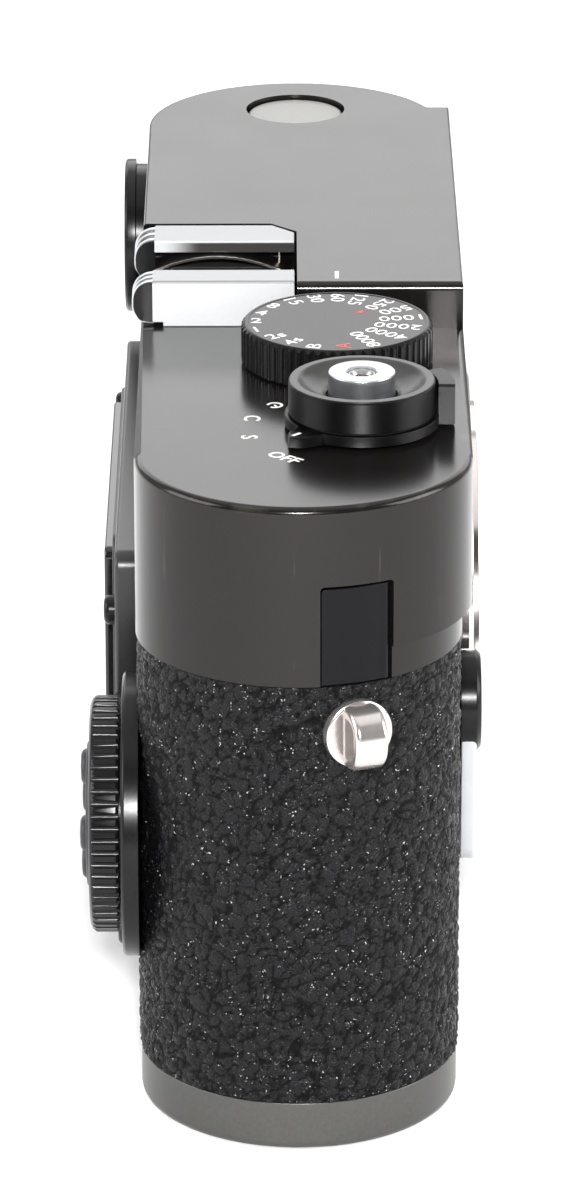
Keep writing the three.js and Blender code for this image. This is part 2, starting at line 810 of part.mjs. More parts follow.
function makeShell() {
  const outer = join(
    prismUp(stadium(shellRadius), shellLow, shellHigh),
    prismUp(stadium(rimRadius), shellFoot, coverBottom + rimRise),
  );
  const inner = prismUp(stadium(shellInner), shellFoot - overrun, coverBottom + rimRise + overrun);
  const frontFrom = -shellRadius - overrun;
  const frontTo = -shellInner + overrun;
  const rearFrom = shellInner - overrun;
  const rearTo = shellRadius + overrun;
  const boss = moved(rodThrough(bossRadius, -shellRadius, -shellInner, mountSteps), lensX, 0, lensZ);
  const collar = turnedThrough(
    [
      [lockRadius + slip, -(outerRadius + lockCollarProud)],
      [lockCollar, -(outerRadius + lockCollarProud)],
      [lockCollar, -shellInner - overrun],
      [lockRadius + slip, -shellInner - overrun],
    ],
  );
  return cut(
    join(cut(outer, inner), boss, moved(collar, lockX, 0, lockZ)),
    moved(rodThrough(spigotRadius + seat, frontFrom, frontTo), lensX, 0, lensZ),
    moved(rodThrough(leverPin + slip, frontFrom, frontTo, smallSteps), leverX, 0, leverZ),
    moved(rodThrough(lockStem + slip, frontFrom, frontTo, smallSteps), lockX, 0, lockZ),
    prismThrough(screenOpening(), rearFrom, rearTo, 0, cornerSteps),
    endTool(lugStud + seat, -1),
    endTool(lugStud + seat, 1),
  );
}
add("body_shell", makeShell(), castAlloy);

// Skin: one wrap of leather, cut out round everything that stands through it
function panelOutline(grow) {
  return roundedRectangle(panelLeft - grow, panelRight + grow, panelBottom - grow, panelTop + grow, panelCorner + grow);
}
function makeSkin() {
  const inner = outerRadius - skinThickness;
  const frontFrom = -bareSkin;
  const frontTo = -inner + overrun;
  return cut(
    prismUp(stadium(outerRadius), shellLow, shellHigh),
    prismUp(stadium(inner), shellLow - overrun, shellHigh + overrun),
    moved(rodThrough(mountRadius + seat, frontFrom, frontTo, mountSteps), lensX, 0, lensZ),
    moved(rodThrough(leverPin + 2 * slip, frontFrom, frontTo, smallSteps), leverX, 0, leverZ),
    moved(rodThrough(lockCollar + seat, frontFrom, frontTo), lockX, 0, lockZ),
    moved(rodThrough(padBaseRadius + seat, padBaseDepth, bareSkin), padX, 0, padZ),
    prismThrough(panelOutline(seat), inner - overrun, bareSkin, 0, cornerSteps),
    endTool(lugRadius + seat, -1),
    endTool(lugRadius + seat, 1),
  );
}
add("leather_skin", makeSkin(), leather);

// Lens mount: a flange with a raised bearing ring and four bayonet claws
const mountFace = -(outerRadius + mountProud);
const bearingFace = -(outerRadius + bearingProud);
const mountBack = -(shellRadius + seat);
const mountEdge = 0.5;
const clawDepth = 1.5;
const clawDrop = 0.7;
const clawThickness = 1.3;
const clawHalf = 0.45;
const clawCount = 4;
function makeMount() {
  const ring = turnedThrough(
    [
      [throatRadius, bearingFace],
      [bearingRadius, bearingFace],
      [bearingRadius, mountFace],
      [mountRadius - mountEdge, mountFace],
      [mountRadius, mountFace + mountEdge],
      [mountRadius, mountBack],
      [spigotRadius, mountBack],
      [spigotRadius, -shellInner],
      [throatRadius, -shellInner],
    ],
    mountSteps,
  );
  const claws = Array.from({ length: clawCount }, (_, i) => {
    const middle = (i * 2 * Math.PI) / clawCount;
    return prismThrough(
      sectorShape(throatRadius - clawDepth, throatRadius + mountEdge, middle - clawHalf, middle + clawHalf),
      bearingFace + clawDrop,
      bearingFace + clawDrop + clawThickness,
      0,
      cornerSteps,
    );
  });
  return join(ring, ...claws);
}
add("lens_mount", makeMount(), chrome, [lensX, 0, lensZ]);

// Throat: the dark box behind the mount, with the rangefinder's cam follower in a slot at its top
const throatHalfX = 24;
const throatHalfZ = 19;
const throatRear = 2.7;
const gateHalfX = 18.5;
const gateHalfZ = 15;
const followerHalf = 1.6;
const followerPivotY = -10.5;
const followerPivotDrop = 1.8;
const followerPin = 0.9;
const followerPinReach = 1.8;
const followerArmHalf = 1.4;
const followerArmLength = 3.6;
const rollerRadius = 1.7;
const rollerForward = 2.6;
const followerRoom = 1.6;
const throatFront = -shellInner + seat;
const pivotZ = lensZ + throatHalfZ - followerPivotDrop;
const armFoot = pivotZ - followerArmLength;
const rollerY = followerPivotY - rollerForward;
function makeThroat() {
  const outer = box(
    lensX - throatHalfX,
    lensX + throatHalfX,
    throatFront,
    throatRear,
    lensZ - throatHalfZ,
    lensZ + throatHalfZ,
  );
  const gate = box(
    lensX - gateHalfX,
    lensX + gateHalfX,
    throatFront - overrun,
    throatRear + overrun,
    lensZ - gateHalfZ,
    lensZ + gateHalfZ,
  );
  const slotHalf = followerHalf + slip;
  const slotRear = followerPivotY + followerArmHalf + followerRoom;
  const slot = box(
    lensX - slotHalf,
    lensX + slotHalf,
    throatFront - overrun,
    slotRear,
    lensZ,
    lensZ + throatHalfZ + overrun,
  );
  const reach = followerHalf + followerPinReach + slip;
  const pinHoles = rodAlong(followerPin + slip, lensX - reach, lensX + reach, followerPivotY, pivotZ);
  return cut(outer, gate, slot, pinHoles);
}
add("throat_box", makeThroat(), blackPaint);

function makeFollower() {
  const arm = box(
    lensX - followerHalf,
    lensX + followerHalf,
    followerPivotY - followerArmHalf,
    followerPivotY + followerArmHalf,
    armFoot,
    pivotZ + followerArmHalf,
  );
  const toe = box(
    lensX - followerHalf,
    lensX + followerHalf,
    rollerY,
    followerPivotY,
    armFoot,
    armFoot + rollerRadius,
  );
  const roller = rodAlong(rollerRadius, lensX - followerHalf, lensX + followerHalf, rollerY, armFoot);
  const reach = followerHalf + followerPinReach;
  const pin = rodAlong(followerPin, lensX - reach, lensX + reach, followerPivotY, pivotZ);
  return join(arm, toe, roller, pin);
}
add("rangefinder_follower", makeFollower(), satinSteel);

// Focal-plane shutter: three blades between a front and a rear plate
const apertureHalfX = 14.4;
const apertureHalfZ = 9.8;
const plateHalfX = 23.5;
const plateHalfZ = 19;
const plateThickness = 0.6;
const bladeThickness = 0.3;
const bladeCount = 3;
const bladeHalfX = 18;
const bladeHeight = 8.6;
const bladeOverlap = 1.4;
const bladeTravel = 21.5; // of the top blade, down into the stack
const railWidth = 4;
const plateY = throatRear + seat;
const bladeY = (i) => plateY + plateThickness + seat + i * (bladeThickness + seat);
const rearPlateY = bladeY(bladeCount);
const bladeTop = lensZ + apertureHalfZ + bladeOverlap;
const bladeStep = bladeHeight - bladeOverlap;

function makePlate(y0, y1) {
  const plate = box(lensX - plateHalfX, lensX + plateHalfX, y0, y1, lensZ - plateHalfZ, lensZ + plateHalfZ);
  const window = box(
    lensX - apertureHalfX,
    lensX + apertureHalfX,
    y0 - overrun,
    y1 + overrun,
    lensZ - apertureHalfZ,
    lensZ + apertureHalfZ,
  );
  return cut(plate, window);
}
function makeFrontPlate() {
  const rails = [-1, 1].map((side) => {
    const outer = lensX + side * plateHalfX;
    const inner = outer - side * railWidth;
    return box(
      Math.min(outer, inner),
      Math.max(outer, inner),
      plateY,
      rearPlateY - seat,
      lensZ - plateHalfZ,
      lensZ + plateHalfZ,
    );
  });
  return join(makePlate(plateY, plateY + plateThickness), ...rails);
}
add("shutter_front_plate", makeFrontPlate(), blackPaint);
add("shutter_rear_plate", makePlate(rearPlateY, rearPlateY + plateThickness), blackPaint);
const bladeNames = ["shutter_blade_upper", "shutter_blade_middle", "shutter_blade_lower"];
bladeNames.forEach((name, i) => {
  const top = bladeTop - i * bladeStep;
  const y = bladeY(i);
  add(name, box(lensX - bladeHalfX, lensX + bladeHalfX, y, y + bladeThickness, top - bladeHeight, top), blackPaint);
});

// Sensor stack behind the shutter
const filterThickness = 0.8;
const filterHalfX = 16.5;
const filterHalfZ = 12;
const packageThickness = 1.9;
const packageHalfX = 18;
const packageHalfZ = 13.5;
const sensorBoardThickness = 1.2;
const sensorBoardHalfX = 21;
const sensorBoardHalfZ = 17;
const mainBoardThickness = 1.3;
const mainBoardLeft = -46;
const mainBoardTop = 53;
const mainBoardBottom = 9;
const filterY = rearPlateY + plateThickness + seat;
const packageY = filterY + filterThickness + seat;
const sensorBoardY = packageY + packageThickness + seat;
const mainBoardRear = shellInner - seat;
const mainBoardY = mainBoardRear - mainBoardThickness;
const slab = (halfX, halfZ, y, thickness) =>
  box(lensX - halfX, lensX + halfX, y, y + thickness, lensZ - halfZ, lensZ + halfZ);
add("infrared_filter", slab(filterHalfX, filterHalfZ, filterY, filterThickness), glass);
add("image_sensor", slab(packageHalfX, packageHalfZ, packageY, packageThickness), blackPlastic);
const spacerRadius = 1.6;
function makeSensorBoard() {
  const plate = slab(sensorBoardHalfX, sensorBoardHalfZ, sensorBoardY, sensorBoardThickness);
  const from = sensorBoardY + sensorBoardThickness;
  const spacers = [-1, 1].flatMap((sideX) =>
    [-1, 1].map((sideZ) =>
      moved(
        rodThrough(spacerRadius, from - sensorBoardThickness / 2, mainBoardY - seat, smallSteps),
        lensX + sideX * (sensorBoardHalfX - 2 * spacerRadius),
        0,
        lensZ + sideZ * (sensorBoardHalfZ - 2 * spacerRadius),
      ),
    ),
  );
  return join(plate, ...spacers);
}
add("sensor_board", makeSensorBoard(), board);
add(
  "main_board",
  box(mainBoardLeft, lensX + throatHalfX, mainBoardY, mainBoardRear, mainBoardBottom, mainBoardTop),
  board,
);

// Chassis plate on top of the shell, which carries the finder, the encoder and the release neck
const bossRoom = () =>
  moved(rodThrough(bossRadius + seat, -frontFace, -shellInner + seat, mountSteps), lensX, 0, lensZ);
add("chassis_plate", cut(prismUp(stadium(rimRadius), chassisBottom, chassisTop), bossRoom()), castAlloy);

// Finder: the long optical block from the range window to the viewfinder, and its tunnel to the eyepiece
const finderMargin = 1.5;
const rangeArmDepth = 5.6;
const rangeArmMargin = 3.4;
const finderRear = -1.7;
const tunnelHalf = 7.5;
const finderTop = counterModuleTop - counterModuleHeight - seat;
function makeFinder() {
  const front = -frontFace + coverWall + seat;
  const floor = chassisTop + seat;
  const near = stepX + coverWall + seat;
  const far = finderWindow.x + finderWindow.width / 2 + finderMargin;
  const main = box(near, far, front, finderRear, floor, finderTop);
  const arm = box(rangeWindow.x - rangeArmMargin, near + overrun, front, front + rangeArmDepth, floor, encoderTop);
  const tunnel = box(
    eyepieceX - tunnelHalf,
    eyepieceX + tunnelHalf,
    finderRear - overrun,
    outerRadius - eyepieceNeck - seat,
    floor,
    finderTop,
  );
  return cut(join(main, arm, tunnel), bossRoom());
}
add("finder_block", makeFinder(), blackPlastic);

// Rear panel, with the screen and its buttons
const panelFace = outerRadius + panelProud;
const buttonCapRadius = 1.7;
const buttonCapProud = 1.4;
const flangeRadius = 2.5;
const flangeThickness = 0.4;
const buttonTravel = 0.8;
const cupboreRoom = 0.3;
const columnX = 37;
const columnTop = 49;
const columnPitch = 8;
const columnCount = 5;
const sideX = -26.8;
const menuZ = 47;
const setZ = 12.8;
const rearButtons = [
  ...Array.from({ length: columnCount }, (_, i) => ["rear_button_" + (i + 1), columnX, columnTop - i * columnPitch]),
  ["menu_button", sideX, menuZ],
  ["set_button", sideX, setZ],
];
const panelBack = shellRadius + seat;
const flangeY = shellRadius + buttonTravel + seat;
const upperPanelBack = outerRadius + seat;
const bezelMargin = 1.4;
const bezelProud = 0.5;
const screenProud = 1.45;
const screenModuleDepth = 4;
const screenCorner = 1.2;
function screenShape(grow, corner) {
  return roundedRectangle(
    screenX - screenWidth / 2 - grow,
    screenX + screenWidth / 2 + grow,
    screenZ - screenHeight / 2 - grow,
    screenZ + screenHeight / 2 + grow,
    corner,
  );
}
function makePanel() {
  const whole = prismThrough(panelOutline(0), panelBack, panelFace, 0, cornerSteps);
  const underCover = box(
    panelLeft - overrun,
    panelRight + overrun,
    panelBack - overrun,
    upperPanelBack,
    coverBottom - seat,
    panelTop + overrun,
  );
  const holes = rearButtons.map(([, x, z]) => {
    const bore = turnedThrough(
      [
        [0, panelBack - overrun],
        [flangeRadius + slip, panelBack - overrun],
        [flangeRadius + slip, flangeY + flangeThickness + cupboreRoom],
        [buttonCapRadius + slip, flangeY + flangeThickness + cupboreRoom],
        [buttonCapRadius + slip, panelFace + overrun],
        [0, panelFace + overrun],
      ],
      smallSteps,
    );
    return moved(bore, x, 0, z);
  });
  const panel = cut(
    whole,
    underCover,
    moved(rodThrough(padBaseRadius + seat, panelBack - overrun, panelFace + overrun), padX, 0, padZ),
    prismThrough(screenOpening(), panelBack - overrun, panelFace + overrun, 0, cornerSteps),
    ...holes,
  );
  const bezelShape = screenShape(bezelMargin + seat, screenCorner + bezelMargin);
  const bezel = prismThrough(bezelShape, panelFace - bezelProud, panelFace + bezelProud, 0, cornerSteps);
  const screenRoom = prismThrough(
    screenShape(seat, screenCorner),
    panelFace - overrun,
    panelFace + bezelProud + overrun,
    0,
    cornerSteps,
  );
  const moduleRoom = prismThrough(screenOpening(), panelFace - overrun, panelFace, 0, cornerSteps);
  return join(panel, cut(bezel, screenRoom, moduleRoom));
}
add("rear_panel", makePanel(), blackPlastic);

const buttonEdge = 0.3;
for (const [name, x, z] of rearButtons) {
  const face = panelFace + buttonCapProud;
  const cap = turnedThrough(
    [
      [0, flangeY],
      [flangeRadius, flangeY],
      [flangeRadius, flangeY + flangeThickness],
      [buttonCapRadius, flangeY + flangeThickness],
      [buttonCapRadius, face - buttonEdge],
      [buttonCapRadius - buttonEdge, face],
      [0, face],
    ],
    smallSteps,
  );
  add(name, cap, blackPaint, [x, 0, z]);
}

add(
  "screen_module",
  prismThrough(screenShape(moduleMargin, moduleMargin / 2), panelFace - seat - screenModuleDepth, panelFace - seat, 0, cornerSteps),
  satinSteel,
);
add("screen_glass", prismThrough(screenShape(0, screenCorner), panelFace, panelFace + screenProud, 0, cornerSteps), glass);

// Setting dial: a base disc with a hub, the knurled ring round the hub, and the rocking pad on its pivot
const padBaseProud = 1.65;
const hubRadius = 8.6;
const hubProud = 3.7;
const hubHole = 1.75;
const ringRadius = 13.1;
const ringFace = 5.25;
const ringRibs = 32;
const ringRibDepth = 0.35;
const ringEdge = 0.7;
const ringRun = 0.4; // running clearance round the hub
const padRadius = 8.2;
const padFace = 5.65;
const padThickness = 1.3;
const padPivotRadius = 1.4;
const padPivotLength = 1.1;
const bumpRadius = 2;
const bumpRise = 0.67;
const bumpOffset = 5.6;
const padEdge = 0.35;
const baseFaceY = outerRadius + padBaseProud;
const hubFaceY = outerRadius + hubProud;
const pivotTopY = hubFaceY + seat;

// The base is hollowed behind to follow the rounded release end of the shell.
function makePadBase() {
  const disc = turnedThrough([
    [hubHole, hubFaceY],
    [hubHole, pivotTopY - padPivotLength - slip],
    [0, pivotTopY - padPivotLength - slip],
    [0, padBaseDepth],
    [padBaseRadius, padBaseDepth],
    [padBaseRadius, baseFaceY - padEdge],
    [padBaseRadius - padEdge, baseFaceY],
    [hubRadius, baseFaceY],
    [hubRadius, hubFaceY],
  ]);
  return cut(disc, moved(prismUp(stadium(shellRadius + seat), 0, coverBottom), -padX, 0, -padZ));
}
add("setting_dial_base", makePadBase(), blackPaint, [padX, 0, padZ]);

function makeRing() {
  const face = outerRadius + ringFace;
  const back = baseFaceY + slip;
  const bore = hubRadius + ringRun;
  const skirt = prismThrough(knurled(ringRadius, ringRibDepth, ringRibs, bore), back, face - ringEdge);
  const crown = turnedThrough(
    [
      [bore, face - ringEdge],
      [ringRadius - ringRibDepth, face - ringEdge],
      [ringRadius - ringRibDepth - ringEdge, face],
      [bore, face],
    ],
    ringRibs,
  );
  return join(skirt, crown);
}
add("setting_ring", makeRing(), blackPlastic, [padX, 0, padZ]);

add(
  "pad_pivot",
  rodThrough(padPivotRadius, pivotTopY - padPivotLength, pivotTopY, smallSteps),
  satinSteel,
  [padX, 0, padZ],
);

function makePad() {
  const face = outerRadius + padFace;
  const disc = turnedThrough(
    [
      [0, face - padThickness],
      [padRadius, face - padThickness],
      [padRadius, face - padEdge],
      [padRadius - padEdge, face],
      [0, face],
    ],
  );
  const bumps = Array.from({ length: 4 }, (_, i) => {
    const angle = (i * Math.PI) / 2;
    const bump = turnedThrough(
      [
        [0, face - padEdge],
        [bumpRadius, face - padEdge],
        [bumpRadius, face + bumpRise / 2],
        [bumpRadius - bumpRise / 2, face + bumpRise],
        [0, face + bumpRise],
      ],
      smallSteps,
    );
    return moved(bump, bumpOffset * Math.cos(angle), 0, bumpOffset * Math.sin(angle));
  });
  return join(disc, ...bumps);
}
add("direction_pad", makePad(), rubber, [padX, 0, padZ]);

// Frame selector lever on the lens side: a round hub with a tapered arm
const leverHub = 5.7;
const leverFace = 2.65; // the hub stands this far proud of the skin
const leverLength = 19;
const leverTipHalf = 2.3;
const leverArmThickness = 1.7;
const leverEdge = 0.5;
function makeLever() {
  const back = -(outerRadius + slip);
  const face = -(outerRadius + leverFace);
  const hub = turnedThrough(
    [
      [0, face],
      [leverHub - leverEdge, face],
      [leverHub, face + leverEdge],
      [leverHub, back],
      [0, back],
    ],
  );
  const arm = new THREE.Shape();
  const half = leverHub - leverEdge;
  arm.moveTo(-half, 0);
  arm.lineTo(-leverTipHalf, -leverLength + leverTipHalf);
  arm.absarc(0, -leverLength + leverTipHalf, leverTipHalf, Math.PI, 2 * Math.PI, false);
  arm.lineTo(half, 0);
  const blade = prismThrough(arm, face + leverEdge, face + leverEdge + leverArmThickness, 0, cornerSteps);
  const pin = rodThrough(leverPin, back - overrun, -shellInner + overrun, smallSteps);
  return join(hub, blade, pin);
}
add("frame_lever", makeLever(), blackPaint, [leverX, 0, leverZ]);

// Lens release button, in the shell's collar
const lockProud = 2.8;
const lockTravel = 1.2;
function makeLockButton() {
  const face = -(outerRadius + lockProud);
  const back = -(shellRadius + lockTravel + slip);
  return turnedThrough(
    [
      [0, face],
      [lockRadius - leverEdge, face],
      [lockRadius, face + leverEdge],
      [lockRadius, back],
      [lockStem, back],
      [lockStem, -shellInner + overrun],
      [0, -shellInner + overrun],
    ],
  );
}
add("lens_release_button", makeLockButton(), blackPaint, [lockX, 0, lockZ]);

// Strap lugs: a disc with an upright eye, on a stud through the shell
const lugDisc = 1.3;
const lugReach = 3.9; // of the eye beyond the disc
const lugEyeWidth = 3.7;
const lugHole = 1.3;
const lugHoleOut = 1.5;
function makeLug() {
  const base = shellRadius + seat;
  const face = base + lugDisc;
  const disc = rodAlong(lugRadius, base, face, 0, 0, roundSteps);
  const stud = rodAlong(lugStud, shellInner - lugDisc, base + lugDisc / 2, 0, 0);
  const eye = new THREE.Shape();
  eye.moveTo(face - lugDisc / 2, -lugRadius + seat);
  eye.lineTo(face + lugReach - lugRadius + seat, -lugRadius + seat);
  eye.absarc(face + lugReach - lugRadius + seat, 0, lugRadius - seat, -Math.PI / 2, Math.PI / 2, false);
  eye.lineTo(face - lugDisc / 2, lugRadius - seat);
  const hole = new THREE.Path();
  hole.absarc(face + lugHoleOut, 0, lugHole, 0, 2 * Math.PI, true);
  eye.holes.push(hole);
  const loop = prismThrough(eye, -lugEyeWidth / 2, lugEyeWidth / 2, 0, arcSteps);
  return join(disc, stud, loop);
}
add("strap_lug_release_side", makeLug(), chrome, [-endCentre, 0, lugZ], Math.PI + lugAngle);
add("strap_lug_window_side", makeLug(), chrome, [endCentre, 0, lugZ], -lugAngle);

// Battery in its holder at the window end, open towards the base plate
const batteryDepth = 13;
const batteryBottom = 6.4;
const holderWall = 1;
const holderHead = 7; // solid head of the holder, for the contacts above the battery
const holderTop = chassisBottom - seat;
const batteryHeight = holderTop - holderHead - batteryBottom;
const holderX = lensX + throatHalfX + seat;
const holderReach = 6.15; // past the middle of the rounded end
const batteryWidth = endCentre + holderReach - holderX - 2 * (holderWall + seat);
const holderY = -11.6;
function makeHolder() {
  const width = batteryWidth + 2 * (holderWall + seat);
  const depth = batteryDepth + 2 * (holderWall + seat);
  const outer = box(holderX, holderX + width, holderY, holderY + depth, batteryBottom, holderTop);
  const inner = box(
    holderX + holderWall,
    holderX + width - holderWall,
    holderY + holderWall,
    holderY + depth - holderWall,
    batteryBottom - overrun,
    batteryBottom + batteryHeight + seat,
  );
  return cut(outer, inner);
}
add("battery_holder", makeHolder(), blackPlastic);
const batteryX = holderX + holderWall + seat;
const batteryY = holderY + holderWall + seat;
add(
  "battery",
  box(
    batteryX,
    batteryX + batteryWidth,
    batteryY,
    batteryY + batteryDepth,
    batteryBottom,
    batteryBottom + batteryHeight,
  ),
  cellGrey,
);

// Memory card in its slot, against the main board
const cardWidth = 24;
const cardHeight = 32;
const cardThickness = 2.1;
const cardBottom = 9.4;
const slotWall = 0.6;
const slotRight = -21;
const slotRearY = mainBoardY - seat;
function makeCardSlot() {
  const width = cardWidth + 2 * (slotWall + seat);
  const depth = cardThickness + 2 * (slotWall + seat);
  const outer = box(
    slotRight - width,
    slotRight,
    slotRearY - depth,
    slotRearY,
    cardBottom,
    cardBottom + cardHeight + seat + slotWall,
  );
  const inner = box(
    slotRight - width + slotWall,
    slotRight - slotWall,
    slotRearY - depth + slotWall,
    slotRearY - slotWall,
    cardBottom - overrun,
    cardBottom + cardHeight + seat,
  );
  return cut(outer, inner);
}
add("card_slot", makeCardSlot(), satinSteel);
const cardX = slotRight - slotWall - seat;
const cardY = slotRearY - slotWall - seat;
add(
  "memory_card",
  box(cardX - cardWidth, cardX, cardY - cardThickness, cardY, cardBottom, cardBottom + cardHeight),
  cellGrey,
);

// Base plate: a tray that carries the tripod socket and the locking key
const baseInset = 0.3;
const baseEdge = 1;
const keyInset = 5.75; // from the middle of the rounded end
const keyX = endCentre - keyInset;
const keyRadius = 8.6;
const keyFlange = 9.7;
const keyFlangeThickness = 0.8;
const keyFace = 0.25;
const socketRadius = 5.2;
const socketFlange = 6.6;
const socketFlangeThickness = 2.4;
const socketThread = 3.1;
const socketInset = 0.15;
const baseRadius = outerRadius - baseInset;
function makeBase() {
  const tray = common(
    prismUp(stadium(baseRadius), 0, baseHeight + 2 * baseEdge, baseEdge),
    box(-bodyLength, bodyLength, -bodyLength, bodyLength, -overrun, baseHeight),
  );
  return cut(
    tray,
    prismUp(stadium(rimRadius + seat), baseFloor, baseHeight + overrun),
    moved(rodUp(keyRadius + slip, -overrun, baseFloor + overrun), keyX, 0, 0),
    moved(rodUp(socketRadius + seat, -overrun, baseFloor + overrun), lensX, 0, 0),
    moved(rodThrough(mountRadius + seat, -bareSkin, -rimRadius, mountSteps), lensX, 0, lensZ), // clear of the mount
  );
}
add("base_plate", makeBase(), gunMetal);

add(
  "tripod_socket",
  turnedUp(
    [
      [socketThread, socketInset],
      [socketRadius, socketInset],
      [socketRadius, baseFloor + seat],
      [socketFlange, baseFloor + seat],
      [socketFlange, baseFloor + seat + socketFlangeThickness],
      [socketThread, baseFloor + seat + socketFlangeThickness],
    ],
  ),
  satinSteel,
  [lensX, 0, 0],
);

// The key: a disc that turns in the base plate, and a folding bail in its face
const bailOuter = 7.6;
const bailInner = 5.6;
const bailThickness = 0.9;
const bailPin = 0.45;
const bailPinReach = 0.8;
const camHalfWidth = 2.2;
const camHalfLength = 8;
const camThickness = 1.2;
const bailZ = keyFace + bailThickness / 2;
const halfRing = (inner, outer) => {
  const shape = new THREE.Shape();
  shape.moveTo(outer, 0);
  shape.absarc(0, 0, outer, 0, Math.PI, false);
  shape.lineTo(-inner, 0);
  shape.absarc(0, 0, inner, Math.PI, 0, true);
  return shape;
};
function makeKey() {
  const flangeFoot = baseFloor + slip;
  const disc = join(
    rodUp(keyRadius, keyFace, flangeFoot + keyFlangeThickness / 2),
    rodUp(keyFlange, flangeFoot, flangeFoot + keyFlangeThickness),
  );
  const camFoot = flangeFoot + keyFlangeThickness;
  const cam = box(-camHalfWidth, camHalfWidth, -camHalfLength, camHalfLength, camFoot - seat, camFoot + camThickness);
  const depth = keyFace + bailThickness + slip;
  const ringRoom = prismUp(halfRing(bailInner - slip, bailOuter + slip), -overrun, depth, 0, arcSteps);
  const hingeRoom = [-1, 1].map((side) => {
    const inner = side * (bailInner - slip);
    const outer = side * (bailOuter + slip);
    const hinge = bailThickness / 2 + slip;
    return box(Math.min(inner, outer), Math.max(inner, outer), -hinge, overrun, -overrun, depth);
  });
  const reach = bailOuter + bailPinReach;
  const pinRoom = rodAlong(bailPin + slip / 2, -reach, reach, 0, bailZ);
  return cut(join(disc, cam), ringRoom, ...hingeRoom, pinRoom);
}
add("base_lock_key", makeKey(), satinSteel, [keyX, 0, 0]);

function makeBail() {
  const ring = prismUp(halfRing(bailInner, bailOuter), keyFace, keyFace + bailThickness, 0, arcSteps);
  const reach = bailOuter + bailPinReach - slip;
  const parts = [-1, 1].flatMap((side) => {
    const barrelFrom = Math.min(side * bailInner, side * bailOuter);
    const barrelTo = Math.max(side * bailInner, side * bailOuter);
    const barrel = rodAlong(bailThickness / 2, barrelFrom, barrelTo, 0, bailZ);
    const pinFrom = Math.min(side * (bailOuter - overrun), side * reach);
    const pinTo = Math.max(side * (bailOuter - overrun), side * reach);
    return [barrel, rodAlong(bailPin - slip / 2, pinFrom, pinTo, 0, bailZ)];
  });
  return join(ring, ...parts);
}
add("base_lock_bail", makeBail(), satinSteel, [keyX, 0, 0]);

// The origin lies under the middle of the whole object's depth, so the body is set off from it.
const frontReach = outerRadius + Math.max(lockProud, bearingProud, leverFace);
const rearReach = outerRadius + padFace + bumpRise;
camera.position.y = (frontReach - rearReach) / 2;

export default camera;
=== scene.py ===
# %% [markdown]
# # A digital rangefinder camera, dressed in Blender
#
# The CAD model of the camera is loaded as a fixed frame. Every piece that shows gets its final
# shape and finish here, and moves with the CAD body that it belongs to. Sizes are written in
# millimetres, in the camera's own frame: X runs along the camera, from the release end (-X) to the
# counter end (+X), the lens side is -Y and Z is up.

# %% Load the frame
import math

import bmesh
import bpy
from mathutils import Matrix, Vector, noise


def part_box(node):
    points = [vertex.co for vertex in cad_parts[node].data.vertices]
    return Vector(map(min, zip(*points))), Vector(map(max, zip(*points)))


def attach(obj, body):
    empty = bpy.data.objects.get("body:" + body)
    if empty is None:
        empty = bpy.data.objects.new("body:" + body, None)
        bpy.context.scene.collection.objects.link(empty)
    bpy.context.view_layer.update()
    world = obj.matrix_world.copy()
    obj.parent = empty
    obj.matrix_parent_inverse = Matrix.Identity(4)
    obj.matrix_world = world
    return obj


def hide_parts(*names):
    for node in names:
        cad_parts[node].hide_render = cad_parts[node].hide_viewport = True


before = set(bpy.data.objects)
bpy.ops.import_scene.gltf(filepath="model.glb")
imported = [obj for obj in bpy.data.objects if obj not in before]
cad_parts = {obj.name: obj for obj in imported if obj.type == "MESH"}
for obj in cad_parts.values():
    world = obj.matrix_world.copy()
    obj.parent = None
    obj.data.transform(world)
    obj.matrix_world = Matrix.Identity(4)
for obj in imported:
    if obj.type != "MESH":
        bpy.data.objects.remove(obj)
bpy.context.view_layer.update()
MM = 0.001
base_low, base_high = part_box("base_plate")
MIDDLE = (base_low[1] + base_high[1]) / 2
print("nodes", len(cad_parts), "middle of the body's depth", round(MIDDLE, 5))

# %% [markdown]
# ## Shader sums
#
# A finish is easier to read as a sum than as a web of nodes. `Wire` wraps one socket and overloads
# the operators, so `1 - mask` adds a Math node. `Nodes` adds any other node to a tree, and `Finish`
# is the tree of one material. Its constants are set on the shader's own sockets, and only what
# changes over the surface is linked.


# %% Wires and finishes
class Wire:
    """One socket of a shader. Each operator adds one Math node."""

    def __init__(self, finish, socket):
        self.finish = finish
        self.socket = socket

    def math(self, operation, first, second=None):
        values = {0: first} if second is None else {0: first, 1: second}
        return self.finish.node("ShaderNodeMath", {"operation": operation}, values)

    def __add__(self, other):
        return self.math("ADD", self, other)

    def __radd__(self, other):
        return self.math("ADD", other, self)

    def __sub__(self, other):
        return self.math("SUBTRACT", self, other)

    def __rsub__(self, other):
        return self.math("SUBTRACT", other, self)

    def __mul__(self, other):
        return self.math("MULTIPLY", self, other)

    def __rmul__(self, other):
        return self.math("MULTIPLY", other, self)

    def __abs__(self):
        return self.math("ABSOLUTE", self)

    def highest(self, other):
        return self.math("MAXIMUM", self, other)

    def root(self):
        return self.math("SQRT", self)

    def step(self, start, end):
        """0 before start, 1 after end, and smooth between them."""
        settings = {"interpolation_type": "SMOOTHSTEP", "clamp": True}
        return self.finish.node("ShaderNodeMapRange", settings, {0: self, 1: start, 2: end, 3: 0.0, 4: 1.0})


class Nodes:
    """A tree of nodes, to which one method adds any node."""

    def __init__(self, tree):
        self.tree = tree

    def node(self, kind, settings=None, values=None, output=0):
        """Any node: its settings are set first, then the values or links of its sockets."""
        made = self.tree.nodes.new(kind)
        for name, value in (settings or {}).items():
            setattr(made, name, value)
        for name, value in (values or {}).items():
            if isinstance(value, Wire):
                self.tree.links.new(value.socket, made.inputs[name])
            else:
                made.inputs[name].default_value = value
        return Wire(self, made.outputs[output])


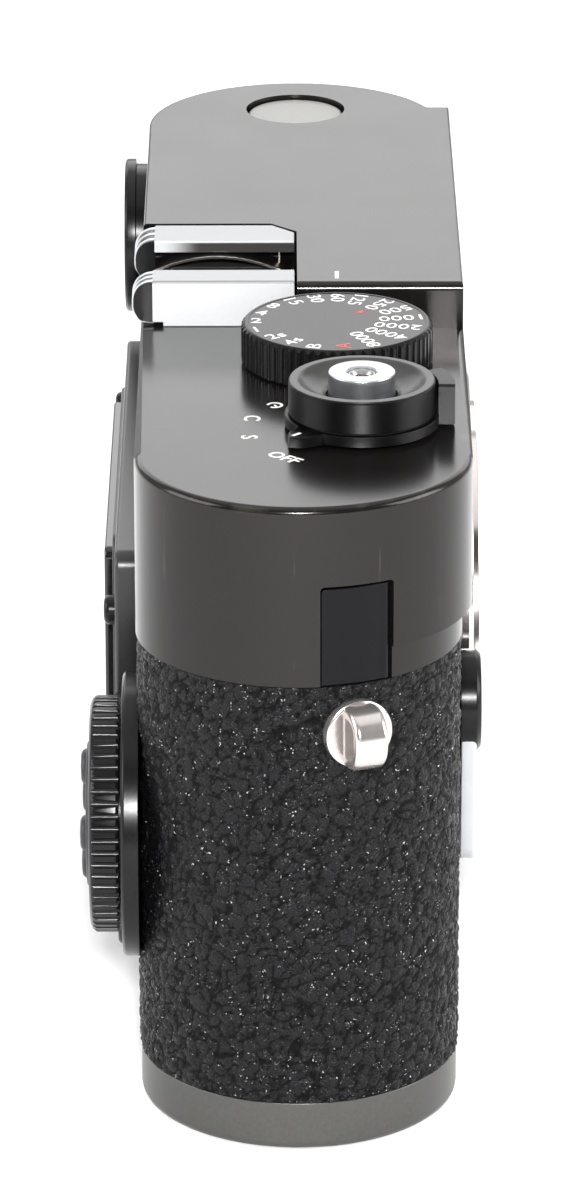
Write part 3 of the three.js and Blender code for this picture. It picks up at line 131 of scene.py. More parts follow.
class Finish(Nodes):
    """A material made of nodes, with its constants on the shader itself."""

    def __init__(self, name, constants):
        self.material = bpy.data.materials.new(name)
        self.material.use_nodes = True
        super().__init__(self.material.node_tree)
        self.shader = self.tree.nodes["Principled BSDF"]
        for socket, value in constants.items():
            self.shader.inputs[socket].default_value = value

    def place(self):
        return self.node("ShaderNodeTexCoord", output="Object")

    def axes(self):
        """X, Y and Z of the surface in millimetres, with Y counted from the middle of the body."""
        sizes = {0: self.place(), "Scale": 1 / MM}
        scaled = self.node("ShaderNodeVectorMath", {"operation": "SCALE"}, sizes)
        middle = {0: scaled, 1: (0, MIDDLE / MM, 0)}
        centred = self.node("ShaderNodeVectorMath", {"operation": "SUBTRACT"}, middle)
        return [self.node("ShaderNodeSeparateXYZ", values={0: centred}, output=i) for i in range(3)]

    def noise(self, size, detail=2.0, stretch=(1, 1, 1), roughness=0.5):
        """Noise from 0 to 1, whose lumps are about this many millimetres across."""
        spread = tuple(1 / (MM * size * share) for share in stretch)
        place = self.node("ShaderNodeVectorMath", {"operation": "MULTIPLY"}, {0: self.place(), 1: spread})
        values = {"Vector": place, "Scale": 1.0, "Detail": detail, "Roughness": roughness}
        return self.node("ShaderNodeTexNoise", None, values)

    def blend(self, share, first, second):
        """A colour between two, by a share from 0 to 1."""
        return self.node("ShaderNodeMix", {"data_type": "RGBA"}, {0: share, 6: first, 7: second}, 2)

    def shadow(self, share):
        """Mixes in a dull black where the share is 1: painted shade, as at the bottom of a crease."""
        black = tint(0.0015, 0.0015, 0.0016)
        constants = {"Base Color": black, "Roughness": 0.9, "Specular IOR Level": 0.1}
        dull = self.node("ShaderNodeBsdfPrincipled", None, constants)
        shaders = {0: share, 1: Wire(self, self.shader.outputs[0]), 2: dull}
        mixed = self.node("ShaderNodeMixShader", None, shaders)
        self.tree.links.new(mixed.socket, self.tree.nodes["Material Output"].inputs["Surface"])

    def feed(self, socket, wire):
        self.tree.links.new(wire.socket, self.shader.inputs[socket])

    def bump(self, height, depth, strength=1.0):
        """Raises the surface by up to a depth in millimetres where the height is 1."""
        values = {"Height": height, "Distance": depth * MM, "Strength": strength}
        self.feed("Normal", self.node("ShaderNodeBump", None, values))


def tint(red, green=None, blue=None):
    """A colour for a socket, from one grey value or three."""
    return (red, red if green is None else green, red if blue is None else blue, 1.0)


print("shader helpers ready")

# %% [markdown]
# ## Metal finishes
#
# The top cover is black chrome: a dark metal with a fine blasted grain, some long faint scratches,
# and brass that shines through where hands have rubbed the edges. A flat grey would look like
# plastic, so the grain changes the roughness as well as the colour.

# %% Sizes of the body
END = 51.75  # centre of each rounded end, along X
RADIUS = 17.75  # of the rounded ends
FRONT = 18.8  # how far the upper cover stands out on the lens side
DECK = 80.0
DIAL_DECK = 74.6
COVER_FOOT = 54.4
BAND_TOP = 58.0  # the cover is proud above this
STEP_X = -10.0  # the riser between the decks
BROW = 0.95  # rounding of the riser's upper edge
FRONT_END = 59.1  # square corner of the front at the counter end
WALL = 1.2
print("body", 2 * (END + RADIUS), "by", 2 * RADIUS, "mm")


# %% Black chrome of the cover
def edge_distance(x, y, radius, half):
    """How far a point lies outside the rounded outline, in millimetres. Inside it is below zero."""
    beyond = (abs(x) - half).highest(0.0)
    return (beyond * beyond + y * y).root() - radius


def black_chrome():
    finish = Finish("black_chrome", {"Metallic": 0.65, "IOR": 1.5})
    x, y, z = finish.axes()
    grain = finish.noise(0.22, 3.0)
    cloud = finish.noise(9.0, 2.0)
    scratch = finish.noise(1.0, 2.0, (0.5, 0.5, 14)).step(0.66, 0.72) * finish.noise(5.0).step(0.5, 0.62)
    rim = edge_distance(x, y, RADIUS - 0.35, END).step(-0.25, 0.3)
    low_rim = rim * z.step(DIAL_DECK - 0.9, DIAL_DECK - 0.4) * (1 - x.step(STEP_X - 1.0, STEP_X - 0.6))
    step_edge = (1 - abs(x - STEP_X).step(0.1, 0.45)) * z.step(DECK - 0.7, DECK - 0.3)
    rubbed = low_rim.highest(step_edge) * finish.noise(4.5, 3.0, (1, 1, 3)).step(0.5, 0.7)
    dark = finish.blend(grain, tint(0.0150, 0.0135, 0.0130), tint(0.0205, 0.0185, 0.0178))
    clouded = finish.blend(cloud.step(0.3, 0.8) * 0.5, dark, tint(0.0190, 0.0168, 0.0158))
    scratched = finish.blend(scratch * 0.2, clouded, tint(0.13, 0.12, 0.11))
    finish.feed("Base Color", finish.blend(rubbed * 0.2, scratched, tint(0.26, 0.22, 0.18)))
    finish.feed("Roughness", grain * 0.06 + 0.13 + cloud * 0.05)
    finish.bump(grain * 0.7 + scratch * 0.3, 0.007, 0.4)
    return finish


cover_look = black_chrome()
print("finish", cover_look.material.name)

# %% [markdown]
# The other metals differ in tone, gloss and how far both drift, so one function makes them all from
# two tones. The base plate is worn grey, the mount polished chrome, the lugs nickel, and the dial
# is black anodised metal. Anodised metal gets a low IOR, because its black layer reflects less than
# paint does.


# %% Other metals
def plain_metal(name, dark, light, rough, grain_size=0.3, metallic=1.0, spread=0.08, depth=0.006, ior=1.5):
    """A metal whose tone and gloss drift with a grain."""
    finish = Finish(name, {"Metallic": metallic, "IOR": ior})
    grain = finish.noise(grain_size, 3.0)
    cloud = finish.noise(12.0, 2.0)
    tone = grain * 0.7 + cloud * 0.3
    finish.feed("Base Color", finish.blend(tone, dark, light))
    finish.feed("Roughness", tone * spread + (rough - spread / 2))
    finish.bump(grain, depth, 0.5)
    return finish


base_look = plain_metal(
    "worn_grey_metal", tint(0.075, 0.074, 0.070), tint(0.125, 0.123, 0.117), 0.36, 0.4, 0.9, 0.12
)
chrome_look = plain_metal(
    "polished_chrome", tint(0.66, 0.61, 0.58), tint(0.74, 0.69, 0.66), 0.14, 0.5, 1.0, 0.05
)
satin_look = plain_metal("satin_chrome", tint(0.52, 0.53, 0.55), tint(0.60, 0.61, 0.63), 0.40, 0.35, 0.5)
nickel_look = plain_metal(
    "satin_nickel", tint(0.54, 0.50, 0.48), tint(0.62, 0.58, 0.56), 0.22, 0.4, 0.85, 0.06
)
button_look = plain_metal(
    "turned_steel", tint(0.46, 0.475, 0.50), tint(0.54, 0.555, 0.58), 0.33, spread=0.06, depth=0.001
)
spring_look = plain_metal("blued_spring", tint(0.16, 0.145, 0.135), tint(0.25, 0.23, 0.215), 0.34)
steel_look = plain_metal("satin_steel", tint(0.42), tint(0.58, 0.58, 0.57), 0.30, spread=0.10)
anodised_look = plain_metal(
    "black_anodised", tint(0.005), tint(0.011, 0.0105, 0.0105), 0.24, metallic=0.2, ior=1.31
)
alloy_look = plain_metal(
    "cast_alloy", tint(0.06, 0.06, 0.062), tint(0.11, 0.11, 0.112), 0.5, 0.6, 0.8, 0.10, depth=0.02
)
print("metals ready")

# %% [markdown]
# ## Leather, plastics and glass
#
# The skin is pebbled leather. Its pebbles are pressed into the mesh further down, which leaves a
# value on each vertex: 1 on a crown and 0 in a crease. The finish reads that value to paint shade
# into the creases, so they are dark and dull just where the mesh dips. The wrinkles on each pebble
# are too small for the mesh, so they come from noise, and so do the few pale specks, which are
# painted glints. A second, dull shader is mixed in as painted shade in the creases, because a dark
# colour alone would still shine.


# %% Leather
def pebbled_leather():
    finish = Finish("pebbled_leather", {"Specular IOR Level": 0.2})
    grain = finish.node("ShaderNodeAttribute", {"attribute_name": "grain"}, output="Fac")
    wander = finish.node("ShaderNodeTexNoise", None, {"Vector": finish.place(), "Scale": 900.0}, "Color")
    bent = finish.node("ShaderNodeVectorMath", {"operation": "SCALE"}, {0: wander, "Scale": 0.0006})
    place = finish.node("ShaderNodeVectorMath", {"operation": "ADD"}, {0: finish.place(), 1: bent})
    edges = {"Vector": place, "Scale": 1500.0}
    small = finish.node("ShaderNodeTexVoronoi", {"feature": "DISTANCE_TO_EDGE"}, edges, "Distance")
    fine = finish.noise(0.13, 3.0)
    wrinkle = small.step(0.0, 0.22)
    crease = 1 - grain.step(0.0, 0.38)
    # painted glints: sparse pale specks near the creases' edges, set in the base colour
    glint_place = finish.noise(0.3, 1.0).step(0.67, 0.73) * (1 - grain.step(0.5, 0.65))
    painted_glint = glint_place * finish.noise(1.6, 1.0).step(0.45, 0.62)
    lumps = finish.noise(0.34, 2.0)
    polish = finish.noise(0.45, 2.0).step(0.46, 0.6)
    tone = finish.blend(fine, tint(0.002, 0.002, 0.0024), tint(0.006, 0.0061, 0.0075))
    finish.feed("Base Color", finish.blend(painted_glint, tone, tint(0.42, 0.42, 0.41)))
    finish.feed("Roughness", 0.42 - polish * 0.2 + crease * 0.2)
    finish.bump(wrinkle * 0.3 + fine * 0.15 + lumps * 0.7, 0.17, 1.0)
    # painted shade: a dull black is mixed in at the creases and the edges of the small wrinkles, but not at
    # the painted glints
    finish.shadow((crease * 0.85 + (1 - wrinkle) * 0.15) * (1 - painted_glint))
    return finish


leather_look = pebbled_leather()
print("finish", leather_look.material.name)


# %% Moulded plastics, rubber, paint and glass
def moulded(name, dark, light, rough, grain_size=0.25, depth=0.01, constants=None):
    """Moulded plastic or rubber with a fine texture."""
    finish = Finish(name, constants or {})
    grain = finish.noise(grain_size, 3.0)
    finish.feed("Base Color", finish.blend(grain, dark, light))
    finish.feed("Roughness", grain * 0.12 + (rough - 0.06))
    finish.bump(grain, depth, 0.5)
    return finish


plastic_look = moulded("black_plastic", tint(0.012), tint(0.022), 0.34)
rubber_look = moulded("dark_rubber", tint(0.010, 0.010, 0.012), tint(0.018, 0.0175, 0.021), 0.42, 0.3, 0.012)
cell_look = moulded("cell_plastic", tint(0.03, 0.032, 0.036), tint(0.05, 0.052, 0.056), 0.45)
board_look = moulded("circuit_board", tint(0.006, 0.05, 0.03), tint(0.012, 0.08, 0.05), 0.4, 1.2)
white_look = moulded("white_paint", tint(0.72, 0.71, 0.69), tint(0.82, 0.81, 0.79), 0.5, 0.2)
red_look = moulded("red_paint", tint(0.48, 0.05, 0.05), tint(0.62, 0.09, 0.08), 0.5, 0.2)
frosted_look = moulded("frosted_glass", tint(0.50, 0.50, 0.48), tint(0.64, 0.64, 0.61), 0.42, 0.4, 0.03)
counter_look = moulded("counter_glass", tint(0.22, 0.217, 0.20), tint(0.27, 0.266, 0.25), 0.4, 0.8, 0.005)
screen_look = moulded("screen_glass", tint(0.006), tint(0.010), 0.09, 2.0, 0.0, {"IOR": 1.52})
glass_look = moulded(
    "coated_glass", tint(0.010, 0.014, 0.022), tint(0.016, 0.022, 0.032), 0.10, 2.0, 0.0, {"IOR": 1.55}
)
flap_look = moulded(
    "flap_plastic",
    tint(0.002, 0.002, 0.003),
    tint(0.004, 0.004, 0.006),
    0.4,
    0.3,
    0.008,
    {"Specular IOR Level": 0.14},
)
print("plastics and glass ready")

# %% [markdown]
# ## Modelling helpers
#
# Every piece is drawn in millimetres with bmesh operators and then settled into the frame: scaled
# to metres, set on the body's middle, given its finish and the CAD body it rides on.


# %% Draw, raise and turn
def drawn(points, corner=0.0, segments=6, only=None):
    """A flat face from a few points, with its corners rounded by a vertex bevel."""
    bm = bmesh.new()
    verts = [bm.verts.new((x, y, 0)) for x, y in points]
    bm.faces.new(verts)
    if corner:
        chosen = verts if only is None else [verts[i] for i in only]
        round_edges(bm, chosen, corner, segments, "VERTICES")
    return bm


def round_edges(bm, geom, width, segments=3, affect="EDGES"):
    bmesh.ops.bevel(
        bm,
        geom=geom,
        offset=width,
        offset_type="OFFSET",
        segments=segments,
        profile=0.5,
        affect=affect,
        clamp_overlap=True,
        material=-1,
    )


def raised(bm, low, high):
    """A flat face carried from one height to another, closed at both ends."""
    bmesh.ops.translate(bm, vec=(0, 0, low), verts=bm.verts)
    grown = bmesh.ops.extrude_face_region(bm, geom=bm.faces[:])
    top = [item for item in grown["geom"] if isinstance(item, bmesh.types.BMVert)]
    bmesh.ops.translate(bm, vec=(0, 0, high - low), verts=top)
    bmesh.ops.recalc_face_normals(bm, faces=bm.faces)
    return bm


def level_edges(bm, height, close=1e-3):
    """The sharp edges that lie at one height."""
    return [
        edge
        for edge in bm.edges
        if all(abs(v.co.z - height) < close for v in edge.verts)
        and len(edge.link_faces) == 2
        and edge.calc_face_angle() > math.radians(40)
    ]


def swept(bm, geom, angle, steps, x=0.0, closed=False):
    """Spins geometry about an upright axis. A full turn is merged with its own start."""
    bmesh.ops.spin(
        bm,
        geom=geom,
        cent=(x, 0, 0),
        axis=(0, 0, 1),
        dvec=(0, 0, 0),
        angle=angle,
        steps=steps,
        use_merge=closed,
        use_duplicate=False,
    )


def turned(profile, steps=96):
    """Spins a closed profile of (radius, height) or (radius, height, rounding) about the upright axis."""
    bm = bmesh.new()
    verts = [bm.verts.new((point[0], 0, point[1])) for point in profile]
    bm.faces.new(verts)
    for vert, point in zip(verts, profile):
        if len(point) > 2:
            round_edges(bm, [vert], point[2], 3, "VERTICES")
    bmesh.ops.delete(bm, geom=bm.faces[:], context="FACES_ONLY")
    axis = [edge for edge in bm.edges if all(v.co.x < 1e-6 for v in edge.verts)]
    bmesh.ops.delete(bm, geom=axis, context="EDGES")
    swept(bm, bm.verts[:] + bm.edges[:], 2 * math.pi, steps, closed=True)
    bmesh.ops.remove_doubles(bm, verts=bm.verts, dist=1e-4)
    bmesh.ops.recalc_face_normals(bm, faces=bm.faces)
    return bm


print("drawing helpers ready")


# %% Place and turn round
def block(x0, x1, y0, y1, z0, z1):
    bm = bmesh.new()
    bmesh.ops.create_cube(bm, size=1)
    bmesh.ops.scale(bm, vec=(x1 - x0, y1 - y0, z1 - z0), verts=bm.verts)
    return moved(bm, (x0 + x1) / 2, (y0 + y1) / 2, (z0 + z1) / 2)


def moved(bm, x=0.0, y=0.0, z=0.0):
    bmesh.ops.translate(bm, vec=(x, y, z), verts=bm.verts)
    return bm


def rotated(bm, angle, axis="Z"):
    bmesh.ops.rotate(bm, cent=(0, 0, 0), matrix=Matrix.Rotation(angle, 3, axis), verts=bm.verts)
    return bm


def facing_rear(bm):
    """Heights become distances towards the rear, and the drawing's Y becomes height."""
    facing_front(bm)
    bmesh.ops.scale(bm, vec=(1, -1, 1), verts=bm.verts)
    bmesh.ops.reverse_faces(bm, faces=bm.faces)
    return bm


def facing_front(bm):
    """Heights become distances towards the lens side, and the drawing's Y becomes height."""
    return rotated(bm, math.pi / 2, "X")


print("placing helpers ready")


# %% Join, cut and settle
def together(*parts):
    """Several closed shapes in one mesh."""
    whole = bmesh.new()
    for part in parts:
        mesh = bpy.data.meshes.new("part")
        part.to_mesh(mesh)
        part.free()
        whole.from_mesh(mesh)
        bpy.data.meshes.remove(mesh)
    return whole


def loose(bm, name):
    mesh = bpy.data.meshes.new(name)
    bm.to_mesh(mesh)
    bm.free()
    obj = bpy.data.objects.new(name, mesh)
    bpy.context.scene.collection.objects.link(obj)
    return obj


def carved(bm, *tools, how="DIFFERENCE", tidy=True):
    """Cuts closed tools out of a closed shape with the exact boolean, or joins them to it."""
    body = loose(bm, "blank")
    cutters = [loose(tool, "tool") for tool in tools]
    for cutter in cutters:
        cut = body.modifiers.new("cut", "BOOLEAN")
        cut.operation = how
        cut.solver = "EXACT"
        cut.object = cutter
    shaped = body.evaluated_get(bpy.context.evaluated_depsgraph_get())
    result = bmesh.new()
    result.from_mesh(shaped.to_mesh())
    shaped.to_mesh_clear()
    for obj in [body, *cutters]:
        mesh = obj.data
        bpy.data.objects.remove(obj)
        bpy.data.meshes.remove(mesh)
    bmesh.ops.remove_doubles(result, verts=result.verts, dist=2e-3)
    bmesh.ops.dissolve_degenerate(result, edges=result.edges, dist=1e-4)
    if tidy:
        flat = math.radians(0.3)
        bmesh.ops.dissolve_limit(result, angle_limit=flat, verts=result.verts, edges=result.edges)
    return result


def settled(name, bm, look, body, nodes=(), edge=0.0, crisp=38):
    """Makes a piece of a drawing in millimetres, and says what it rides on and stands for."""
    bmesh.ops.scale(bm, vec=(MM, MM, MM), verts=bm.verts)
    bmesh.ops.translate(bm, vec=(0, MIDDLE, 0), verts=bm.verts)
    obj = loose(bm, name)
    obj.data.materials.append(look.material)
    obj.data.shade_smooth()
    obj.data.set_sharp_from_angle(angle=math.radians(crisp))
    if edge:
        soften = obj.modifiers.new("soft edges", "BEVEL")
        soften.width = edge * MM
        soften.segments = 2
        soften.profile = 0.5
        soften.limit_method = "ANGLE"
        soften.angle_limit = math.radians(crisp)
        soften.harden_normals = True
    even = obj.modifiers.new("even shading", "WEIGHTED_NORMAL")
    even.keep_sharp = True
    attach(obj, body)
    if nodes:
        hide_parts(*nodes)
    print(name, "faces", len(obj.data.polygons))
    return obj


print("cutting helpers ready")

# %% [markdown]
# ## Top cover
#
# The real cover is one deep-drawn and milled shell with a low deck for the dials, a raised deck
# over the finder and a front that stands a millimetre proud of the leather. It is drawn as one
# outline, raised to the upper deck, and then cut down, as the mill does. Its rims are rounded
# before the holes are made.

# %% Outlines of the body


def stadium(radius, segments=64):
    """The body's rounded outline: two spun half circles, joined by one face."""
    bm = bmesh.new()
    for side in (1, -1):
        start = bm.verts.new((side * END, -side * radius, 0))
        swept(bm, [start], math.pi, segments, side * END)
    bm.faces.new(sorted(bm.verts, key=lambda v: math.atan2(v.co.y, v.co.x)))
    return bm


def proud_outline(inset=0.0):
    """The cover's upper outline, whose lens side is stretched forward."""
    bm = stadium(RADIUS - inset)
    pull = (FRONT - inset) / (RADIUS - inset)
    near = [v for v in bm.verts if v.co.y < 0 and v.co.x < END + 1e-6]
    bmesh.ops.scale(bm, vec=(1, pull, 1), verts=near)
    return bm


def proud_prism(low, high, inset=0.0):
    """The upper outline raised, with its square corner at the counter end."""
    corner = block(END - 8, FRONT_END - inset, -(FRONT - inset), -4, low, high)
    return carved(raised(proud_outline(inset), low, high), corner, how="UNION")


def ledge_tool(radius, low, high):
    """What lies outside the plain outline on the lens side."""
    outside = block(-80, 80, -30, 0, low, high)
    return carved(outside, raised(stadium(radius), low - 1, high + 1))


print("outlines ready")

# %% Cut the cover
PORT = (-0.590, -0.126)  # the data port's angles, wide enough on the hinge side for the open flap
PORT_TOP = 65.7
LENS_X, LENS_Z = 1.0, 37.2
MOUNT_RADIUS = 28.5
GAP = 0.3
COUNTER_X = 58.2
EYE_X, EYE_Z = 46.0, 67.8
DIAL_X, DIAL_Y = -21.4, -4.4
RELEASE_X, RELEASE_Y = -43.1, -6.9


def sector(inner, outer, start, stop, low, high, corner=0.0, steps=16):
    """A piece of a ring between two angles, with its upper corners rounded."""
    bm = bmesh.new()
    a = bm.verts.new((inner * math.cos(start), inner * math.sin(start), 0))
    b = bm.verts.new((outer * math.cos(start), outer * math.sin(start), 0))
    edge = bm.edges.new((a, b))
    swept(bm, [a, b, edge], stop - start, steps)
    raised(bm, low, high)
    if corner:
        ends = []
        for edge in level_edges(bm, high):
            across = edge.verts[0].co - edge.verts[1].co
            if abs(across.length - (outer - inner)) < 1e-3:
                ends.append(edge)
        round_edges(bm, ends, corner, 5)
    return bm


def release_end(inner, outer, start, stop, low, high, corner=0.0):
    """A curved plate on the release end. Its angles are seen from the tip, and grow towards the rear."""
    return moved(sector(inner, outer, math.pi - stop, math.pi - start, low, high, corner), -END)


def window_shape(x, z, width, height, front, back, corner=0.9):
    points = [
        (x - width / 2, z - height / 2),
        (x + width / 2, z - height / 2),
        (x + width / 2, z + height / 2),
        (x - width / 2, z + height / 2),
    ]
    return facing_front(raised(drawn(points, corner, 5), back, front))


def upright(radius, low, high, x, y, steps=64):
    return moved(turned([(0, low), (radius, low), (radius, high), (0, high)], steps), x, y)


def through(radius, front, back, x, z, steps=96):
    """A rod from one Y to another, both counted towards the lens side."""
    rod = turned([(0, back), (radius, back), (radius, front), (0, front)], steps)
    return moved(facing_front(rod), x, 0, z)


def make_cover():
    cover = proud_prism(COVER_FOOT, DECK)
    round_edges(cover, level_edges(cover, DECK), 0.8, 4)
    cut_corner = [(STEP_X - 1, 30), (STEP_X - 1, 0), (9.2, 0), (12.2, 3), (12.2, 30)]
    cover = carved(
        cover,
        ledge_tool(RADIUS + 0.01, COVER_FOOT - 2, BAND_TOP),
        block(-90, STEP_X, -30, 30, DIAL_DECK, DECK + 2),
        raised(drawn(cut_corner), DIAL_DECK, DECK + 1),
    )
    rims = level_edges(cover, DIAL_DECK)
    low_rim = [edge for edge in rims if max(v.co.x for v in edge.verts) < STEP_X + 0.01]
    low_rim = [edge for edge in low_rim if min(v.co.x for v in edge.verts) < STEP_X - 0.01]
    round_edges(cover, low_rim, 0.8, 4)
    rod = facing_rear(turned([(0, -40), (BROW, -40), (BROW, 40), (0, 40)], 48))
    brow_stock = block(STEP_X - 0.2, STEP_X + BROW, -30, -0.02, DECK - BROW, DECK + 1)
    brow = carved(brow_stock, moved(rod, STEP_X + BROW, 0, DECK - BROW))
    room_corner = [(STEP_X, 30), (STEP_X, -WALL), (9.7, -WALL), (13.4, 2.5), (13.4, 30)]
    high_room = carved(
        raised(stadium(RADIUS - WALL - 0.1), BAND_TOP + 5, DECK - WALL),
        block(-90, STEP_X + WALL, -30, 30, BAND_TOP, DECK + 2),
        raised(drawn(room_corner), BAND_TOP, DECK + 1),
    )
    inside = RADIUS - WALL - 1
    glass_from = FRONT - WALL - 1
    return carved(
        cover,
        brow,
        raised(stadium(RADIUS - WALL), COVER_FOOT - 2, DIAL_DECK - WALL),
        high_room,
        release_end(inside, RADIUS + 1, *PORT, COVER_FOOT - 1, PORT_TOP, 1.3),
        upright(6, DECK - 3, DECK + 1, COUNTER_X, 0),
        upright(2.3, DIAL_DECK - 3, DIAL_DECK + 1, DIAL_X, DIAL_Y),
        upright(5.3, DIAL_DECK - 3, DIAL_DECK + 1, RELEASE_X, RELEASE_Y),
        through(MOUNT_RADIUS + GAP, FRONT + 1, inside, LENS_X, LENS_Z),
        through(6.5, -inside, -(RADIUS + 1), EYE_X, EYE_Z),
        window_shape(48, 69, 15, 10.4, FRONT + 1, glass_from),
        window_shape(23.5, 69.6, 13, 8.6, FRONT + 1, glass_from),
        window_shape(-20, 69, 7.6, 6, FRONT + 1, glass_from),
    )


settled("cover", make_cover(), cover_look, "camera_body", ["top_cover"], edge=0.12)

# %% [markdown]
# ## Marks and letters
#
# The letters and numbers on a camera are engraved and filled with paint. Here each is a thin inlay
# that stands a few hundredths of a millimetre proud, made from Blender's own typeface and turned
# into a closed mesh.


# %% Letters
def lettering(words, cap, thickness=0.03, from_left=False, wide=1.0, heavy=0.0):
    """Words as a thin closed plate, whose capitals have a given height."""
    curve = bpy.data.curves.new("lettering", "FONT")
    curve.body = words
    curve.resolution_u = 3
    curve.offset = heavy
    curve.extrude = 0.5
    obj = bpy.data.objects.new("lettering", curve)
    bpy.context.scene.collection.objects.link(obj)
    shaped = obj.evaluated_get(bpy.context.evaluated_depsgraph_get())
    bm = bmesh.new()
    bm.from_mesh(shaped.to_mesh())
    shaped.to_mesh_clear()
    bpy.data.objects.remove(obj)
    bpy.data.curves.remove(curve)
    bmesh.ops.remove_doubles(bm, verts=bm.verts, dist=1e-4)
    bmesh.ops.recalc_face_normals(bm, faces=bm.faces)
    left = min(v.co.x for v in bm.verts)
    right = max(v.co.x for v in bm.verts)
    low = min(v.co.y for v in bm.verts)
    high = max(v.co.y for v in bm.verts)
    moved(bm, -left if from_left else -(left + right) / 2, -(low + high) / 2, 0.5)
    grow = cap / (high - low)
    bmesh.ops.scale(bm, vec=(grow * wide, grow, thickness), verts=bm.verts)
    return bm


def deck_mark(bm, x, y, z, angle):
    """Turns a mark by an angle in degrees and lays it on a deck."""
    return moved(rotated(bm, math.radians(angle)), x, y, z - 0.005)


timer_face = carved(
    turned([(0.62, 0), (0.92, 0), (0.92, 0.03), (0.62, 0.03)], 32),
    block(0.2, 1.2, -1.2, -0.2, -1, 1),
)
timer_hand = rotated(block(-0.12, 0.12, -0.1, 0.62, 0, 0.03), math.radians(-50))
deck_labels = together(
    deck_mark(lettering("OFF", 1.75, heavy=0.015), -53.3, 1.5, DIAL_DECK, -132),
    deck_mark(lettering("S", 1.85, heavy=0.015), -46.8, 5.3, DIAL_DECK, 182),
    deck_mark(lettering("C", 1.85, heavy=0.015), -40.6, 5.0, DIAL_DECK, 176),
    deck_mark(together(timer_face, timer_hand), -36.3, 2.55, DIAL_DECK, 160),
    deck_mark(block(-1.25, 1.25, -0.22, 0.22, 0, 0.03), -6.95, -4.5, DECK, 0),
)
settled("deck_labels", deck_labels, white_look, "camera_body")

# %% [markdown]
# ## Shutter speed dial
#
# The dial is turned from bar, then knurled. Sixty round grooves are cut into a turned body, so each
# rib ends in the chamfer as it does on the real dial. The numbers run from the rim inwards.

# %% Dial
DIAL_TOP = 79.35


def grooves(count, ring, radius, low, high, steps=10):
    """Upright rods set round a circle, to cut a knurl."""
    rods = []
    for i in range(count):
        angle = 2 * math.pi * (i + 0.5) / count
        rods.append(upright(radius, low, high, ring * math.cos(angle), ring * math.sin(angle), steps))
    return together(*rods)


dial_profile = [
    (0, 62.7),
    (2, 62.7),
    (2, 74.8),
    (10.45, 74.8),
    (10.7, 75.05),
    (10.7, 78.9),
    (10.25, DIAL_TOP, 0.1),
    (9.95, DIAL_TOP),
    (9.9, DIAL_TOP - 0.06),
    (0, DIAL_TOP - 0.06),
]
dial = carved(turned(dial_profile, 240), grooves(60, 10.78, 0.42, 74, 80))
moved(dial, DIAL_X, DIAL_Y)
settled("speed_dial", dial, anodised_look, "speed_dial", ["shutter_speed_dial"])

# %% Numbers on the dial
SPEEDS = {
    "8000": -154,
    "4000": -128,
    "2000": -104,
    "1000": -81,
    "500": -59,
    "250": -39,
    "125": -17.5,
    "60": -1,
    "30": 16,
    "15": 34,
    "8": 52,
    "4": 70,
    "2": 88,
    "1": 107,
    "2s": 126,
    "4s": 144,
    "B": 163,
}


def dial_mark(bm, angle, radius):
    """Lays a mark on the dial, so that it starts at a radius and runs inwards."""
    turn = math.radians(angle)
    moved(rotated(bm, turn + math.pi), radius * math.cos(turn), radius * math.sin(turn))
    return moved(bm, DIAL_X, DIAL_Y, DIAL_TOP - 0.065)


numbers = [
    dial_mark(lettering(words, 1.6, 0.03, True, 1.2), angle, 9.6) for words, angle in SPEEDS.items()
]
settled("dial_numbers", together(*numbers), white_look, "speed_dial")
flash_points = [(-1.15, -0.9), (0.45, -0.16), (0.02, 0.14), (1.15, 0.9), (-0.45, 0.16), (-0.02, -0.14)]
flash = raised(drawn(flash_points), 0, 0.03)
deck_mark(flash, DIAL_X + 3.3, DIAL_Y - 2.7, DIAL_TOP - 0.06, -90)
red_marks = together(dial_mark(lettering("A", 1.7, 0.03, True, 1.1), -176, 9.4), flash)
settled("dial_red_marks", red_marks, red_look, "speed_dial")

# %% [markdown]
# ## Release button, cup and main switch
#
# The button stands in a dished cup, and the switch ring turns under the cup's skirt. All three are
# turned shapes. The switch gets its pointer and its thumb tab joined on before its edges are
# softened. The cup's side carries fine turning grooves, as deep as a bump map can show, which draw
# the light out into one upright streak.

# %% Turned black metal
CUP_RADIUS = 8.0


def turned_black():
    """Black anodised metal from the lathe. Its side has fine grooves, which throw a highlight up and down."""
    finish = Finish("turned_black", {"Metallic": 0.2, "IOR": 1.3})
    x, y, z = finish.axes()
    across = x - RELEASE_X
    along = y - RELEASE_Y
    radius = (across * across + along * along).root()
    side = radius.step(CUP_RADIUS - 0.25, CUP_RADIUS - 0.05)
    groove = z.math("PINGPONG", z, 0.05) * side
    cloud = finish.noise(6.0, 2.0)
    top = finish.blend(cloud, tint(0.04, 0.039, 0.038), tint(0.055, 0.054, 0.053))
    # painted shade: the outer side, at the cup's radius and beyond, gets a near-black colour and the top a
    # grey one
    finish.feed("Base Color", finish.blend(side, top, tint(0.0015)))
    finish.feed("Roughness", cloud * 0.06 + 0.24 + side * 0.06)
    finish.bump(groove, 0.445, 1.0)
    return finish


turned_look = turned_black()
print("finish", turned_look.material.name)

# %% Cup and button
cup_profile = [
    (3.95, 60),
    (5, 60),
    (5, 77.4),
    (7.75, 77.4),
    (7.75, 76.35),
    (8, 76.35, 0.08),
    (8, 79.8, 0.12),
    (7.85, 80.0),
    (7.0, 80.05, 0.15),
    (6.3, 79.35, 0.5),
    (5.2, 78.75, 0.5),
    (4.3, 78.55, 0.1),
    (3.95, 78.3),
]
cup = moved(turned(cup_profile, 128), RELEASE_X, RELEASE_Y)
settled("release_cup_turned", cup, turned_look, "camera_body", ["release_cup"])
button_profile = [
    (0, 62.7),
    (3.65, 62.7),
    (3.65, 80.8, 0.05),
    (3.55, 80.9, 0.05),
    (1.75, 80.9, 0.08),
    (1.6, 80.75),
    (1.6, 76.9),
    (0, 76.9),
]
button = moved(turned(button_profile, 96), RELEASE_X, RELEASE_Y)
settled("release_button_turned", button, button_look, "release", ["release_button"])

